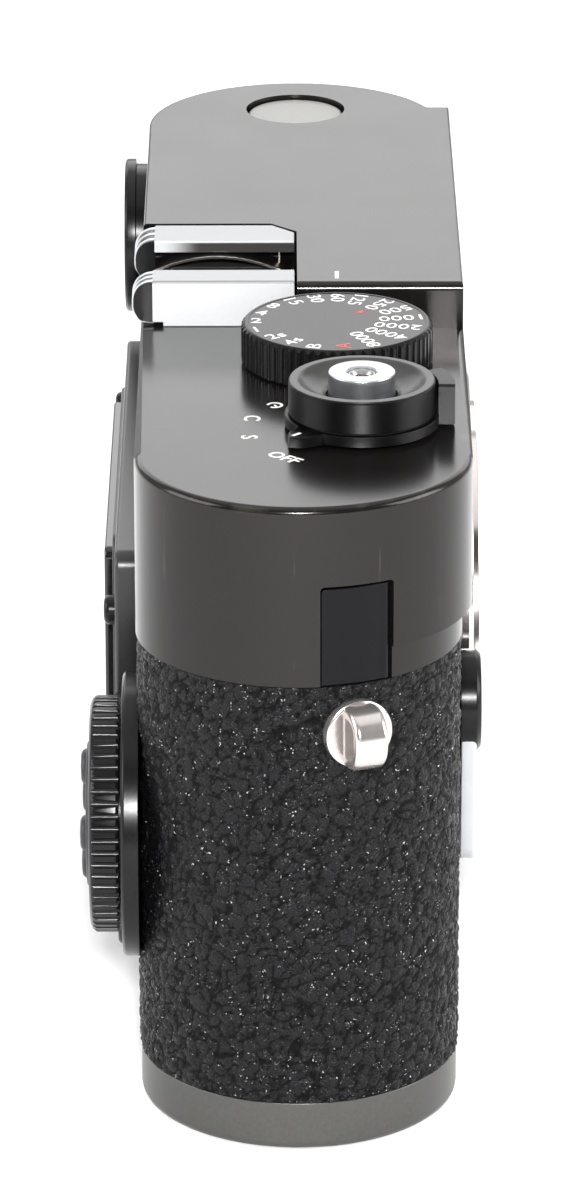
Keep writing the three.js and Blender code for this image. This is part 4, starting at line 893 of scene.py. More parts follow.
thread = [(1.6, 77), (1.6, 80.5), (1.35, 80.62, 0.05), (1.15, 80.35)]
for i in range(6):
    thread += [(1.0, 80.15 - 0.5 * i), (1.15, 79.9 - 0.5 * i)]
thread += [(1.0, 77)]
insert = moved(turned(thread, 64), RELEASE_X, RELEASE_Y)
settled("button_thread", insert, steel_look, "release")

# %% Main switch
POINTER = 2.37  # angles round the cup, in radians
TAB = -1.38
switch_profile = [
    (5.3, 74.9),
    (8.25, 74.9),
    (8.4, 75.05),
    (8.4, 76.1, 0.06),
    (8.25, 76.2),
    (7.55, 76.2),
    (7.55, 77.1),
    (5.3, 77.1),
]
switch_ring = turned(switch_profile, 128)
half_wedge = [(6.6, 1.95), (8.2, 1.95), (10.2, 1.3)]
wedge_points = [(11.3, 0), *reversed(half_wedge), *[(x, -y) for x, y in half_wedge]]
wedge = raised(drawn(wedge_points), 74.9, 76.2)
round_edges(wedge, level_edges(wedge, 76.2), 0.35, 2)
rotated(wedge, POINTER)
arm = sector(7, 9.2, TAB - 0.2, TAB + 0.3, 75.0, 76.1)
tab = sector(8.35, 10.15, TAB - 0.25, TAB + 0.37, 74.95, 79.5, 1.1)
switch = carved(switch_ring, wedge, arm, tab, how="UNION")
moved(switch, RELEASE_X, RELEASE_Y)
settled("main_switch_ring", switch, turned_look, "switch", ["main_switch"], edge=0.1)
pointer_mark = rotated(block(9.6, 10.8, -0.2, 0.2, 76.19, 76.225), POINTER)
settled("pointer_mark", moved(pointer_mark, RELEASE_X, RELEASE_Y), white_look, "switch")

# %% [markdown]
# ## Accessory shoe
#
# The shoe is a chrome channel with two inward rails, whose ends are curled into black ribbed lips
# at the rear. It is cut from one block, with the slot and the mouth as tools, which keeps its inner
# corners sharp. A leaf spring bows up under each rail. The finish knows the shoe's sizes, so that
# it can paint shade inside the channel, dark and less rough there and lighter towards its open
# rear end, and the ground tops are a little darker than the walls.

# %% Shoe
SHOE_X = 1.28
SHOE_NEAR, SHOE_FAR = -9.2, 11.76
SHOE_FRONT, SHOE_REAR = 0.3, 16.4
FLOOR, SLOT_TOP = 76.4, 78.5
SLOT_HALF = 9.3
MOUTH = (-4.95, 5.85)
MOUTH_FLOOR = 76.9


def channel_chrome():
    """Blasted chrome for the shoe, with painted shade that darkens the inside of its channel, less so at its
    rear end.
    """
    finish = Finish("channel_chrome", {"Metallic": 0.12})
    x, y, z = finish.axes()
    mouth_middle = (MOUTH[0] + MOUTH[1]) / 2
    mouth_half = (MOUTH[1] - MOUTH[0]) / 2
    mouth = 1 - abs(x - mouth_middle).step(mouth_half + 0.02, mouth_half + 0.1)
    slot = 1 - abs(x - SHOE_X).step(SLOT_HALF + 0.06, SLOT_HALF + 0.15)
    slot = slot * (1 - z.step(SLOT_TOP, SLOT_TOP + 0.1))
    rear_end = y.step(11.0, 15.5) * z.step(SLOT_TOP - 0.3, SLOT_TOP + 0.1)
    # painted shade: the channel's inside is darkened, less towards its open rear end
    inside = mouth.highest(slot) * (1 - z.step(DECK - 0.4, DECK - 0.2)) * (1 - 0.85 * rear_end)
    grain = finish.noise(0.3, 3.0)
    light = finish.blend(grain, tint(0.60, 0.61, 0.62), tint(0.67, 0.68, 0.69))
    rolled_edge = (1 - x.step(SHOE_NEAR + 0.25, SHOE_NEAR + 0.33)) * z.step(DECK - 0.32, DECK - 0.24)
    ground = finish.blend(z.step(DECK - 0.1, DECK - 0.03), light, tint(0.36, 0.365, 0.375))
    edged = finish.blend(rolled_edge, ground, tint(0.22))
    finish.feed("Base Color", finish.blend(inside, edged, tint(0.045, 0.042, 0.04)))
    finish.feed("Roughness", grain * 0.08 + 0.40 - inside * 0.12)
    finish.bump(grain, 0.006, 0.5)
    return finish


shoe_look = channel_chrome()
print("finish", shoe_look.material.name)


# %% Cut the shoe and curl its lips
def along_x(bm):
    """The drawing's X becomes depth, its Y height, and its thickness runs along the camera."""
    bmesh.ops.rotate(bm, cent=(0, 0, 0), matrix=Matrix(((0, 0, 1), (1, 0, 0), (0, 1, 0))), verts=bm.verts)
    return bm


def make_shoe():
    outline = [
        (SHOE_NEAR, SHOE_FRONT),
        (8.9, SHOE_FRONT),
        (SHOE_FAR, 3.0),
        (SHOE_FAR, SHOE_REAR),
        (SHOE_NEAR, SHOE_REAR),
    ]
    shoe = raised(drawn(outline), DIAL_DECK, DECK)
    sides = [e for e in level_edges(shoe, DECK) if abs(e.verts[0].co.y - e.verts[1].co.y) > 10]
    round_edges(shoe, sides, 0.3, 3)
    return carved(
        shoe,
        block(SHOE_X - SLOT_HALF, SHOE_X + SLOT_HALF, -5, 25, FLOOR, SLOT_TOP),
        block(*MOUTH, -5, 25, MOUTH_FLOOR, DECK + 1),
        block(SHOE_X - 5.7, SHOE_X + 5.7, 2.5, 14.5, 75.5, MOUTH_FLOOR),
        block(SHOE_NEAR - 1, SHOE_NEAR + 1.2, 15.2, 20, 70, 75.1),
    )


def shoe_lip(low, high, by=0.0):
    """The curled end of one rail, or a narrow rib that stands a little proud of it."""
    curl = [
        (16.3, 75.0 - by),
        (17.9, 75.2 - by),
        (18.6 + by, 76.5),
        (18.6 + by, 78.1),
        (18.1 + by, 79.2),
        (17.2, 79.75 + by),
        (16.3, 79.85 + by),
    ]
    return along_x(raised(drawn(curl, 0.45, 4, [1, 2, 3, 4, 5]), low, high))


settled("shoe_channel", make_shoe(), shoe_look, "camera_body", ["accessory_shoe"], edge=0.12)
lips = together(shoe_lip(-9.0, -5.2), shoe_lip(6.1, 11.5))
settled("shoe_lips", lips, anodised_look, "camera_body", edge=0.1)
ribs = [shoe_lip(x, x + 0.4, 0.14) for x in (-8.8, -7.3, -5.8, 6.6, 8.6, 10.6)]
settled("shoe_lip_ribs", together(*ribs), satin_look, "camera_body", edge=0.05)

# %% Leaf spring
SPRING_THICK = 0.35
SPRING_LONG = 15.9
SPRING_START = 0.4
SPRING_RISE = 1.6


def spring_strip(side):
    """A bowed strip under one rail: a narrow face bent up by moving its rows."""
    bm = bmesh.new()
    bmesh.ops.create_grid(bm, x_segments=2, y_segments=24, size=0.5)
    bmesh.ops.scale(bm, vec=(4.1, SPRING_LONG, 1), verts=bm.verts)
    moved(bm, SHOE_X + side * 5.75, SPRING_START + SPRING_LONG / 2)
    for vert in bm.verts:
        along = (vert.co.y - SPRING_START) / SPRING_LONG
        rise = max(0.0, (along - 0.1) / 0.9)
        vert.co.z = FLOOR + SPRING_THICK + 0.02 + SPRING_RISE * 4 * rise * (1 - rise)
    bmesh.ops.solidify(bm, geom=bm.faces[:], thickness=SPRING_THICK)
    bmesh.ops.recalc_face_normals(bm, faces=bm.faces)
    return bm


spring = together(
    spring_strip(-1),
    spring_strip(1),
    block(SHOE_X - 9, SHOE_X + 9, 0.6, 2.2, FLOOR + 0.02, FLOOR + 0.02 + SPRING_THICK),
    block(SHOE_X + 6.2, SHOE_X + 9, 1.9, 2.15, FLOOR + 0.2, SLOT_TOP - 0.2),
)
settled("shoe_leaf_spring", spring, spring_look, "camera_body", ["shoe_spring"], edge=0.05)

# %% Contacts
SMALL_CONTACTS = ((-3.2, 5.2), (3.2, 5.2), (-3.2, 11.6), (3.2, 11.6))
contact_block = carved(
    block(-5.4, 5.4, 2.8, 14.2, 75.5, FLOOR),
    *[upright(0.9, FLOOR - 0.12, FLOOR + 1, x, y, 32) for x, y in SMALL_CONTACTS],
)
moved(contact_block, SHOE_X)
contact_nodes = ["shoe_contact_block"]
settled("shoe_contacts_base", contact_block, plastic_look, "camera_body", contact_nodes, 0.1)
disc_profile = [(0, 75.6), (0.75, 75.6), (0.75, FLOOR - 0.05, 0.05), (0, FLOOR - 0.02)]
contact_discs = [moved(turned(disc_profile, 32), SHOE_X + x, y) for x, y in SMALL_CONTACTS]
centre_contact = moved(turned([(0, 75.6), (1.5, 75.6), (1.5, 76.6, 0.05), (0, 76.65)], 48), SHOE_X, 8.5)
contacts = together(centre_contact, *contact_discs)
settled("shoe_contacts", contacts, chrome_look, "camera_body")

# %% [markdown]
# ## Port flap and strap lugs
#
# The flap is a moulded door that closes flush with the end of the cover. It is a curved plate with
# a round barrel joined on at the hinge, so it still looks right when it is open. Each lug is a
# plated disc with an upright eye for a strap's ring. The eye is cut from a bevelled block and
# joined to the disc, because no single turned shape has both.

# %% Flap
HINGE = -0.5415
HINGE_RADIUS = 17.25
flap_door = release_end(16.8, 17.7, HINGE - 0.008, -0.132, 54.5, 65.4, 1.1)
hinge_x = -END - HINGE_RADIUS * math.cos(HINGE)
knuckle = upright(0.6, 54.5, 65.4, hinge_x, HINGE_RADIUS * math.sin(HINGE), 24)
flap = carved(flap_door, knuckle, how="UNION")
settled("port_door", flap, flap_look, "flap", ["port_flap"], edge=0.15)

# %% Lugs
LUG_ANGLE = 0.36
LUG_Z = 48.8


def tipped(bm):
    """Turns a piece that was drawn upright, so that its axis points out of the camera's end."""
    return rotated(bm, math.pi / 2, "Y")


def at_lug(bm, side):
    """Turns a piece that points along X to where a lug sits on the rounded end."""
    turn = -LUG_ANGLE if side > 0 else math.pi + LUG_ANGLE
    return moved(rotated(bm, turn), side * END, 0, LUG_Z)


def eye_plate(inner, outer, half, thick, corner=0.0, steps=6):
    """An upright plate from one reach to another, with its two outer corners rounded."""
    points = [(inner, -half), (outer, -half), (outer, half), (inner, half)]
    return raised(drawn(points, corner, steps, [1, 2]), *thick)


def make_lug(side):
    disc_profile = [
        (0, 13.55),
        (1.5, 13.55),
        (1.5, 17.15),
        (3.75, 17.15),
        (3.75, 18.2),
        (3.4, 18.45),
        (0, 18.45),
    ]
    disc = turned(disc_profile, 64)
    loop = eye_plate(17.9, 22.35, 3.45, (-1.85, 1.85), 3.2, 12)
    round_edges(loop, level_edges(loop, 1.85) + level_edges(loop, -1.85), 0.6, 4)
    window = eye_plate(18.75, 21.25, 2.3, (-4, 4), 1.5, 8)
    foot = eye_plate(18.0, 18.65, 3.3, (-2.15, 1.7))
    for bm in (loop, window, foot):
        facing_front(bm)
    bound = tipped(turned([(0, 17), (3.65, 17), (3.65, 23), (0, 23)], 64))
    eye = carved(carved(loop, foot, how="UNION"), bound, how="INTERSECT")
    return at_lug(carved(carved(tipped(disc), eye, how="UNION"), window), side)


for side, node in ((-1, "strap_lug_release_side"), (1, "strap_lug_window_side")):
    settled(node + "_chromed", make_lug(side), nickel_look, "camera_body", [node], edge=0.22)

# %% [markdown]
# ## Leather
#
# The covering is one sheet of leather, glued round the shell. A bump map would leave its outline
# smooth, so the pebbles are pressed into a fine wall: each vertex sinks by how near it is to the
# border between two Voronoi cells, which noise has bent, and each pebble leans its own way to catch
# the light. The openings are cut first, and the sheet is made in two halves, which meet under the
# lens mount, to keep each mesh a fair size.

# %% Room for the lugs and the rear panel
PANEL = (-33, 43, 8.1, 55.8)
PANEL_FACE = 20.45
PAD_X, PAD_Z = -46.0, 30.2
PAD_RADIUS = 15.75
RELEASE_LOCK_X, RELEASE_LOCK_Z = 28.35, 15.5
LEVER_X, LEVER_Z = -33.5, 38.7


def lug_room(side):
    return at_lug(tipped(turned([(0, 10), (3.85, 10), (3.85, 20), (0, 20)], 64)), side)


def plate_on(box, corner, segments, back, front):
    """A rounded plate over a box of left, right, bottom and top, still lying flat."""
    left, right, bottom, top = box
    points = [(left, bottom), (right, bottom), (right, top), (left, top)]
    return raised(drawn(points, corner, segments), back, front)


def grown(box, by):
    return (box[0] - by, box[1] + by, box[2] - by, box[3] + by)


print("rooms ready")

# %% A wall for the skin
SKIN_LOW, SKIN_HIGH = 5.75, 54.25
SKIN_BACK = 17.15  # radius behind the leather
PEBBLE = 1.45  # size of a pebble
RELIEF = 0.3  # depth of a crease


def fine_wall(side):
    """Half of the body's outline raised, with a wall that is fine enough to hold the pebbles."""
    bm = bmesh.new()
    start = bm.verts.new((side * END, -side * RADIUS, 0))
    swept(bm, [start], math.pi, 230, side * END)
    for y in (-RADIUS, RADIUS):
        bm.verts.new((LENS_X, y, 0))
    bm.faces.new(sorted(bm.verts, key=lambda v: math.atan2(v.co.y, v.co.x - side * 30)))
    long_edges = [edge for edge in bm.edges if edge.calc_length() > 2 * RADIUS + 1]
    bmesh.ops.subdivide_edges(bm, edges=long_edges, cuts=210)
    raised(bm, SKIN_LOW, SKIN_HIGH)
    upright_edges = [edge for edge in bm.edges if abs(edge.verts[0].co.z - edge.verts[1].co.z) > 1]
    bmesh.ops.subdivide_edges(bm, edges=upright_edges, cuts=200, use_grid_fill=True)
    return bm


# %% Press the pebbles and cut the openings
noise.seed_set(7)  # so that every run presses the same pebbles


def pebble(place):
    """The grain at a place, 1 on a crown and 0 in a crease, and its height. Each crown leans its own way."""
    wander = noise.noise_vector(place * 0.55) * 0.55 + noise.noise_vector(place * 1.9) * 0.3
    bent = (place + wander) / PEBBLE
    distances, points = noise.voronoi(bent)
    crown = min(1.0, (distances[1] - distances[0]) / 0.5)
    lean = noise.cell_vector(points[0] * 7.3) - Vector((0.5, 0.5, 0.5))
    tilt = lean.dot(bent - points[0]) * 1.2
    smooth = crown * crown * (3 - 2 * crown)
    return crown, smooth * (0.78 + tilt) + 0.22 * noise.noise(place * 0.8)


def emboss(bm):
    """Presses the creases into the wall's outer face."""
    grain = bm.verts.layers.float.new("grain")
    for vert in bm.verts:
        beyond = max(0.0, abs(vert.co.x) - END) * (1 if vert.co.x > 0 else -1)
        outward = Vector((beyond, vert.co.y, 0))
        if outward.length < RADIUS - 0.02:
            continue
        crown, height = pebble(vert.co)
        vert[grain] = crown
        vert.co -= outward.normalized() * RELIEF * min(1.0, max(0.0, 1 - height))


def skin_room():
    """Everything that the leather leaves out: openings, and the body behind it."""
    return carved(
        through(MOUNT_RADIUS + GAP, 20, 10, LENS_X, LENS_Z),
        through(6.1, 20, 10, RELEASE_LOCK_X, RELEASE_LOCK_Z),
        through(PAD_RADIUS + GAP, -17.4, -20, PAD_X, PAD_Z),
        facing_rear(plate_on(grown(PANEL, GAP), 2 + GAP, 6, 10, 20)),
        lug_room(-1),
        lug_room(1),
        through(2.1, 20, 10, LEVER_X, LEVER_Z),
        raised(stadium(SKIN_BACK), 5, 55),
        how="UNION",
    )


for side, name in ((-1, "leather_release_side"), (1, "leather_window_side")):
    skin = carved(fine_wall(side), skin_room(), tidy=False)
    emboss(skin)
    settled(name, skin, leather_look, "camera_body", ["leather_skin"])

# %% [markdown]
# ## Base plate
#
# The base plate is a shallow metal tray that closes the camera from below. It is the body's outline
# raised a little, its lower edge rounded, and hollowed by the same outline, one wall smaller, as a
# press would form it.

# %% Base plate
BASE_RADIUS = 17.45
KEY_X, KEY_RADIUS = 46, 8.9  # the hole for the lock key


def make_base():
    base = raised(stadium(BASE_RADIUS), 0, 5.6)
    round_edges(base, level_edges(base, 0), 1.0, 5)
    return carved(
        base,
        raised(stadium(BASE_RADIUS - 0.9), 1.3, 7),
        upright(5.5, -1, 3, LENS_X, 0),
        upright(KEY_RADIUS, -1, 3, KEY_X, 0),
        through(MOUNT_RADIUS + GAP, 30, 10, LENS_X, LENS_Z),
    )


settled("base_tray", make_base(), base_look, "base", ["base_plate"], edge=0.12)

# %% [markdown]
# ## Rear panel, screen and buttons
#
# The back is a moulded panel with a raised bezel round the screen's glass and a column of round
# buttons. The panel and the bezel are two rounded plates joined in one, and the glass and the
# buttons get their own bores with a little room, so that dark seams show round them. Each button is
# a turned cap on its own CAD body, because it travels.

# %% Rear panel
SCREEN = (-20.15, 31.35, 12.05, 51.75)
GLASS_FACE = 21.9
BUTTONS = {f"rear_button_{i + 1}": (37, 49 - 8 * i) for i in range(5)}
BUTTONS["menu_button"] = (-26.8, 47)
BUTTONS["set_button"] = (-26.8, 12.8)


def button_bore(x, z):
    profile = [(0, -30), (2.0, -30), (2.0, -18.65), (2.8, -18.65), (2.8, -10), (0, -10)]
    return moved(facing_front(turned(profile, 48)), x, 0, z)


def make_panel():
    panel = plate_on(PANEL, 2, 8, SKIN_BACK, PANEL_FACE)
    round_edges(panel, level_edges(panel, PANEL_FACE), 0.45, 4)
    facing_rear(panel)
    bezel = plate_on(grown(SCREEN, 1.7), 2.6, 8, 19.9, 20.95)
    round_edges(bezel, level_edges(bezel, 20.95), 0.3, 3)
    panel = carved(panel, facing_rear(bezel), how="UNION")
    return carved(
        panel,
        block(-40, 50, 15, 18.05, 54.1, 60),
        through(PAD_RADIUS + GAP, -16, -22, PAD_X, PAD_Z),
        facing_rear(plate_on(grown(SCREEN, 1.1), 0.8, 6, 16, PANEL_FACE)),
        facing_rear(plate_on(grown(SCREEN, GAP), 1.2, 6, 19, 22)),
        *[button_bore(x, z) for x, z in BUTTONS.values()],
    )


panel = make_panel()
settled("rear_panel_moulded", panel, plastic_look, "camera_body", ["rear_panel"], edge=0.1)
glass = plate_on(SCREEN, 1.2, 6, PANEL_FACE, GLASS_FACE)
round_edges(glass, level_edges(glass, GLASS_FACE), 0.35, 4)
facing_rear(glass)
settled("screen_cover_glass", glass, screen_look, "camera_body", ["screen_glass"])

# %% Buttons
button_bodies = {f"rear_button_{i + 1}": f"button_{i + 1}" for i in range(5)}
button_bodies.update(menu_button="button_menu", set_button="button_set")
cap_profile = [
    (0, -21.8),
    (1.1, -21.85, 0.2),
    (1.55, -21.6, 0.15),
    (1.7, -21.2),
    (1.7, -18.35),
    (2.5, -18.35),
    (2.5, -17.95),
    (0, -17.95),
]
for node, (x, z) in BUTTONS.items():
    cap = moved(facing_front(turned(cap_profile, 48)), x, 0, z)
    settled(node + "_cap", cap, anodised_look, button_bodies[node], [node])

# %% [markdown]
# ## Setting dial
#
# A knurled ring turns round a rubber pad that rocks four ways, and both sit on a round plate that
# lies on the leather. The plate, ring and pad share one axis, so each is turned from a profile with
# heights towards the rear. The ring is knurled with the same grooves as the speed dial, and the
# pad's four bumps are joined on.


# %% Plate, ring and pad of the setting dial
def on_pad(bm):
    """Places a piece that was turned with its heights towards the rear."""
    return moved(facing_rear(bm), PAD_X, 0, PAD_Z)


plate_profile = [
    (0, 17.45),
    (PAD_RADIUS, 17.45, 0.1),
    (PAD_RADIUS, 19.1, 0.1),
    (15.4, 19.4, 0.1),
    (14.2, 19.4),
    (13.9, 19.2),
    (8.6, 19.2),
    (8.6, 21.45, 0.1),
    (1.75, 21.45),
    (1.75, 20.35),
    (0, 20.35),
]
plate = on_pad(turned(plate_profile, 128))
settled("setting_base", plate, anodised_look, "camera_body", ["setting_dial_base"])
ring_profile = [
    (9.0, 19.7),
    (12.8, 19.7),
    (13.1, 20.0),
    (13.1, 22.3),
    (12.75, 22.75, 0.1),
    (12.2, 23.0, 0.15),
    (10.2, 22.75, 0.3),
    (9.3, 22.5),
    (9.0, 22.3),
]
ring = carved(turned(ring_profile, 240), grooves(60, 13.2, 0.42, 19, 24))
settled("setting_ring_knurled", on_pad(ring), anodised_look, "ring", ["setting_ring"])
pad_profile = [
    (0, 22.1),
    (8.2, 22.1),
    (8.2, 23.05, 0.15),
    (7.85, 23.4, 0.2),
    (5, 23.3),
    (3.0, 23.1, 0.4),
    (0, 23.05),
]
bump_profile = [(0, 22.6), (2.0, 22.6), (2.0, 23.7, 0.3), (1.5, 24.0, 0.2), (0, 24.07)]
bumps = []
for i in range(4):
    turn = i * math.pi / 2
    bumps.append(moved(turned(bump_profile, 48), 5.6 * math.cos(turn), 5.6 * math.sin(turn)))
pad = on_pad(carved(turned(pad_profile, 128), *bumps, how="UNION"))
settled("rocker_pad", pad, rubber_look, "pad", ["direction_pad"])
pivot = on_pad(turned([(0, 20.65), (1.4, 20.65), (1.4, 21.75, 0.15), (0, 21.75)], 32))
settled("pad_pivot_pin", pivot, steel_look, "pad_gimbal", ["pad_pivot"])

# %% [markdown]
# ## Eyepiece, counter window and front windows
#
# The eyepiece is a black ring with steps that lead in to a small lens. Steps and lens are one
# profile each, turned and laid towards the rear. The front windows are panes set into the cover
# with a thin dark gap round them, and the counter's round pane lies just under the upper deck.

# %% Eyepiece
eyepiece_profile = [
    (5, 14.75),
    (6.2, 14.75),
    (6.2, 17.75),
    (8.65, 17.75),
    (8.65, 19.175),
    (9.25, 19.3),
    (9.25, 20.3, 0.1),
    (8.95, 20.6, 0.1),
    (6.6, 20.6, 0.15),
    (6.2, 20.1),
    (5.9, 19.9),
    (5.8, 19.2),
    (5.5, 19.0),
    (5.4, 18.4),
    (5.1, 18.2),
    (5, 17.8),
]
eyepiece = moved(facing_rear(turned(eyepiece_profile, 128)), EYE_X, 0, EYE_Z)
settled("eyepiece_mount", eyepiece, anodised_look, "camera_body", ["eyepiece_ring"])
lens_profile = [(0, 16.55), (4.7, 16.55), (4.7, 17.45), (3.2, 17.62), (1.6, 17.72), (0, 17.75)]
eyepiece_glass = moved(facing_rear(turned(lens_profile, 96)), EYE_X, 0, EYE_Z)
settled("eyepiece_front_lens", eyepiece_glass, glass_look, "camera_body", ["eyepiece_lens"])

# %% Windows
PANES = {
    "viewfinder_window": (48, 69, 15, 10.4, glass_look, "clear_glass"),
    "frame_light_window": (23.5, 69.6, 13, 8.6, frosted_look, "frosted_window"),
    "rangefinder_window": (-20, 69, 7.6, 6, glass_look, "clear_glass"),
}
for node, (x, z, width, height, look, slot) in PANES.items():
    pane = window_shape(x, z, width - 0.6, height - 0.6, 18.55, 17.55, 0.6)
    settled(node + "_pane", pane, look, "camera_body", [node], edge=0.15)
counter_profile = [(0, 78.8), (5.7, 78.8), (5.7, 79.35, 0.1), (5.4, 79.5), (0, 79.52)]
counter_pane = moved(turned(counter_profile, 96), COUNTER_X)
settled("counter_pane", counter_pane, counter_look, "camera_body", ["counter_window"])

# %% [markdown]
# ## Lens mount, lever and lens release
#
# The mount is a polished ring with a raised seat and four claws that hold a lens. The ring is
# turned, the claws are pieces of a ring joined on, and six holes take slotted screws. The lever
# beside it chooses the frame lines: its hub is black and its blade bright, so they are two pieces
# on one body. The release button is a chromed cap.

# %% Lens mount
mount_profile = [
    (22, 20.6, 0.1),
    (23.8, 20.6, 0.1),
    (23.8, 19.8),
    (28, 19.8),
    (MOUNT_RADIUS, 19.3),
    (MOUNT_RADIUS, 17.15),
    (23.5, 17.15),
    (23.5, 14.85),
    (22, 14.85),
]
claws = [
    sector(20.5, 22.6, i * math.pi / 2 - 0.45, i * math.pi / 2 + 0.45, 18.6, 19.9) for i in range(4)
]
SCREW_RING = 25.9
SCREW_ANGLES = [math.radians(20 + 60 * i) for i in range(6)]
screw_holes = [
    upright(1.25, 19.5, 21, SCREW_RING * math.cos(angle), SCREW_RING * math.sin(angle), 32)
    for angle in SCREW_ANGLES
]
mount = carved(carved(turned(mount_profile, 192), *claws, how="UNION"), *screw_holes)
moved(facing_front(mount), LENS_X, 0, LENS_Z)
settled("mount_ring", mount, chrome_look, "camera_body", ["lens_mount"], edge=0.1)


def screw(x, y, angle):
    """A slotted screw head, set in its hole."""
    head = turned([(0, 19.3), (1.15, 19.3), (1.15, 19.75, 0.1), (0, 19.82)], 32)
    head = carved(head, block(-2, 2, -0.15, 0.15, 19.6, 20))
    return moved(rotated(head, angle), x, y)


screws = [
    screw(SCREW_RING * math.cos(angle), SCREW_RING * math.sin(angle), 2.3 * i)
    for i, angle in enumerate(SCREW_ANGLES)
]
mount_screws = moved(facing_front(together(*screws)), LENS_X, 0, LENS_Z)
settled("mount_screws", mount_screws, steel_look, "camera_body")

# %% Frame lever and lens release
hub = turned([(0, 18.05), (5.7, 18.05), (5.7, 19.9, 0.1), (5.2, 20.4, 0.1), (0, 20.4)], 96)
blade = raised(drawn([(-5.2, 0), (-2.3, -19), (2.3, -19), (5.2, 0)], 2.2, 10, [1, 2]), 18.2, 19.9)
round_edges(blade, level_edges(blade, 19.9), 0.4, 3)
pin = upright(1.5, 14.86, 18.2, 0, 0, 32)
lever = moved(facing_front(carved(hub, pin, how="UNION")), LEVER_X, 0, LEVER_Z)
settled("selector_lever", lever, anodised_look, "lever", ["frame_lever"], edge=0.1)
moved(facing_front(blade), LEVER_X, 0, LEVER_Z)
settled("selector_blade", blade, satin_look, "lever", ["frame_lever"], edge=0.1)
lock_profile = [
    (0, 14.86),
    (1.5, 14.86),
    (1.5, 18.35),
    (4.4, 18.35),
    (4.4, 20.05, 0.1),
    (3.9, 20.5, 0.1),
    (2.5, 20.4, 0.3),
    (0, 20.25),
]
lock = moved(facing_front(turned(lock_profile, 96)), RELEASE_LOCK_X, 0, RELEASE_LOCK_Z)
settled("lens_release_cap", lock, chrome_look, "lens_release", ["lens_release_button"])

# %% [markdown]
# ## Tripod socket
#
# The socket is a steel bush with a screw thread. A real thread is a helix, but rings of the same
# pitch look the same down a dark hole and make a closed shape that simply turns.

# %% Tripod socket
thread_profile = [(5.2, 1.6), (6.6, 1.6), (6.6, 4.0), (3.1, 4.0)]
for i in range(8):
    thread_profile += [(3.1, 3.75 - 0.42 * i), (3.35, 3.54 - 0.42 * i)]
thread_profile += [(3.1, 0.45), (3.35, 0.15), (5.0, 0.15), (5.2, 0.3)]
socket = moved(turned(thread_profile, 96), LENS_X)
settled("tripod_socket_threaded", socket, steel_look, "base", ["tripod_socket"])

# %% [markdown]
# ## Finishes of the inner parts
#
# The parts that show only through an opening, or when the base plate comes off, have the right
# shape in the CAD already. They keep it, and get a finish of the same care through their material
# slots.

# %% Inner parts
INNER = {
    "counter_display": plastic_look,
    "speed_dial_encoder": plastic_look,
    "data_socket": steel_look,
    "body_shell": alloy_look,
    "throat_box": anodised_look,
    "rangefinder_follower": steel_look,
    "shutter_front_plate": anodised_look,
    "shutter_blade_upper": anodised_look,
    "shutter_blade_middle": anodised_look,
    "shutter_blade_lower": anodised_look,
    "shutter_rear_plate": anodised_look,
    "infrared_filter": glass_look,
    "image_sensor": plastic_look,
    "sensor_board": board_look,
    "main_board": board_look,
    "chassis_plate": alloy_look,
    "finder_block": plastic_look,
    "screen_module": steel_look,
    "battery_holder": plastic_look,
    "battery": cell_look,
    "card_slot": steel_look,
    "memory_card": cell_look,
    "base_lock_key": steel_look,
    "base_lock_bail": steel_look,
}
for node, look in INNER.items():
    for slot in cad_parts[node].material_slots:
        slot.material = look.material
print("inner parts", len(INNER))

# %% [markdown]
# ## Studio
#
# The photo was taken from the release end, a little above, with a long lens. The camera's place,
# angles and lens were solved from edges in the photo, and are written here as numbers.

# %% Camera
AZIMUTH, ELEVATION, ROLL = math.radians(-90.09), math.radians(20.87), math.radians(-0.08)
PLACE = (-0.7465, 0.00057, 0.3225)
FOCAL_LENGTH = 205.6
back = Vector(
    (
        math.sin(AZIMUTH) * math.cos(ELEVATION),
        -math.cos(AZIMUTH) * math.cos(ELEVATION),
        math.sin(ELEVATION),
    )
)
level = Vector((math.cos(AZIMUTH), math.sin(AZIMUTH), 0))
rise = back.cross(level)
right = level * math.cos(ROLL) + rise * math.sin(ROLL)
upward = rise * math.cos(ROLL) - level * math.sin(ROLL)
lens = bpy.data.cameras.new("camera")
lens.lens = FOCAL_LENGTH
lens.clip_end = 20
viewer = bpy.data.objects.new("camera", lens)
viewer.matrix_world = Matrix(
    (
        (right.x, upward.x, back.x, PLACE[0]),
        (right.y, upward.y, back.y, PLACE[1]),
        (right.z, upward.z, back.z, PLACE[2]),
        (0, 0, 0, 1),
    )
)
bpy.context.scene.collection.objects.link(viewer)
bpy.context.scene.camera = viewer

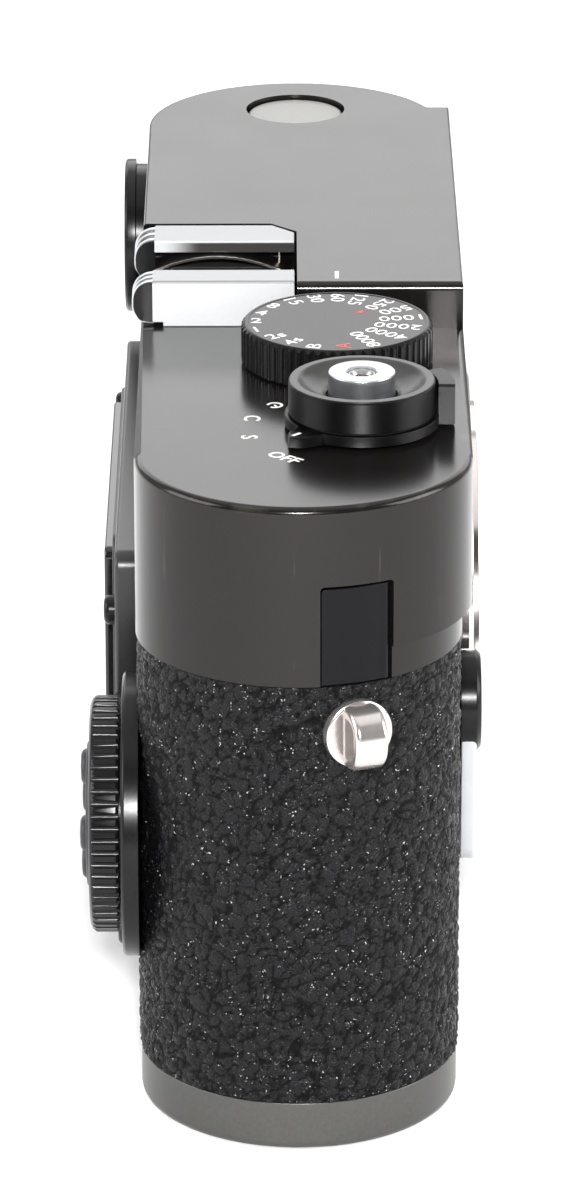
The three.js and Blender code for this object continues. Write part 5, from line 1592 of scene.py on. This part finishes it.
# %% [markdown]
# The product stood on white, in soft light from all sides, with a small flash near the camera that
# makes the highlights. The world is bright only beyond the camera's far end: the decks mirror that
# part, while the end that faces us mirrors the floor.

# %% Floor and light
floor_shape = bmesh.new()
bmesh.ops.create_grid(floor_shape, x_segments=1, y_segments=1, size=4.0)
floor = loose(floor_shape, "floor")
floor_look = Finish("pale_floor", {"Roughness": 0.8})
floor_look.feed("Base Color", floor_look.blend(floor_look.noise(60.0), tint(0.93), tint(0.95)))
floor.data.materials.append(floor_look.material)


def softbox(name, place, aim, width, height, watts):
    """A soft rectangular light that faces a point."""
    lamp = bpy.data.lights.new(name, "AREA")
    lamp.shape = "RECTANGLE"
    lamp.size = width
    lamp.size_y = height
    lamp.energy = watts
    obj = bpy.data.objects.new(name, lamp)
    obj.location = place
    obj.rotation_euler = (Vector(aim) - Vector(place)).to_track_quat("-Z", "Y").to_euler()
    bpy.context.scene.collection.objects.link(obj)


softbox("overhead", (0.1, 0, 1.3), (0, 0, 0), 1.6, 1.6, 7)
softbox("far_side", (1.5, 0, 0.9), (0, 0, 0.05), 2.4, 1.0, 15)
softbox("left_side", (-0.2, 1.3, 0.6), (0, 0, 0.04), 1.0, 0.8, 14)
softbox("right_side", (-0.2, -1.3, 0.6), (0, 0, 0.04), 1.0, 0.8, 19)
softbox("by_the_camera", (-0.8, 0.0, 0.42), (0, 0, 0.05), 0.09, 0.07, 9.5)
world = bpy.data.worlds.new("studio")
bpy.context.scene.world = world
world.use_nodes = True
sky = Nodes(world.node_tree)
facing = sky.node("ShaderNodeTexCoord", output="Generated")
forward = sky.node("ShaderNodeSeparateXYZ", values={0: facing})
far_glow = {0: forward, 1: -0.7, 2: 0.35, 3: 0.05, 4: 0.57}
glow = sky.node("ShaderNodeMapRange", {"interpolation_type": "SMOOTHSTEP"}, far_glow)
background = sky.tree.nodes["Background"]
sky.tree.links.new(glow.socket, background.inputs["Strength"])
background.inputs["Color"].default_value = (1, 1, 1, 1)
bpy.context.scene.view_settings.view_transform = "Standard"
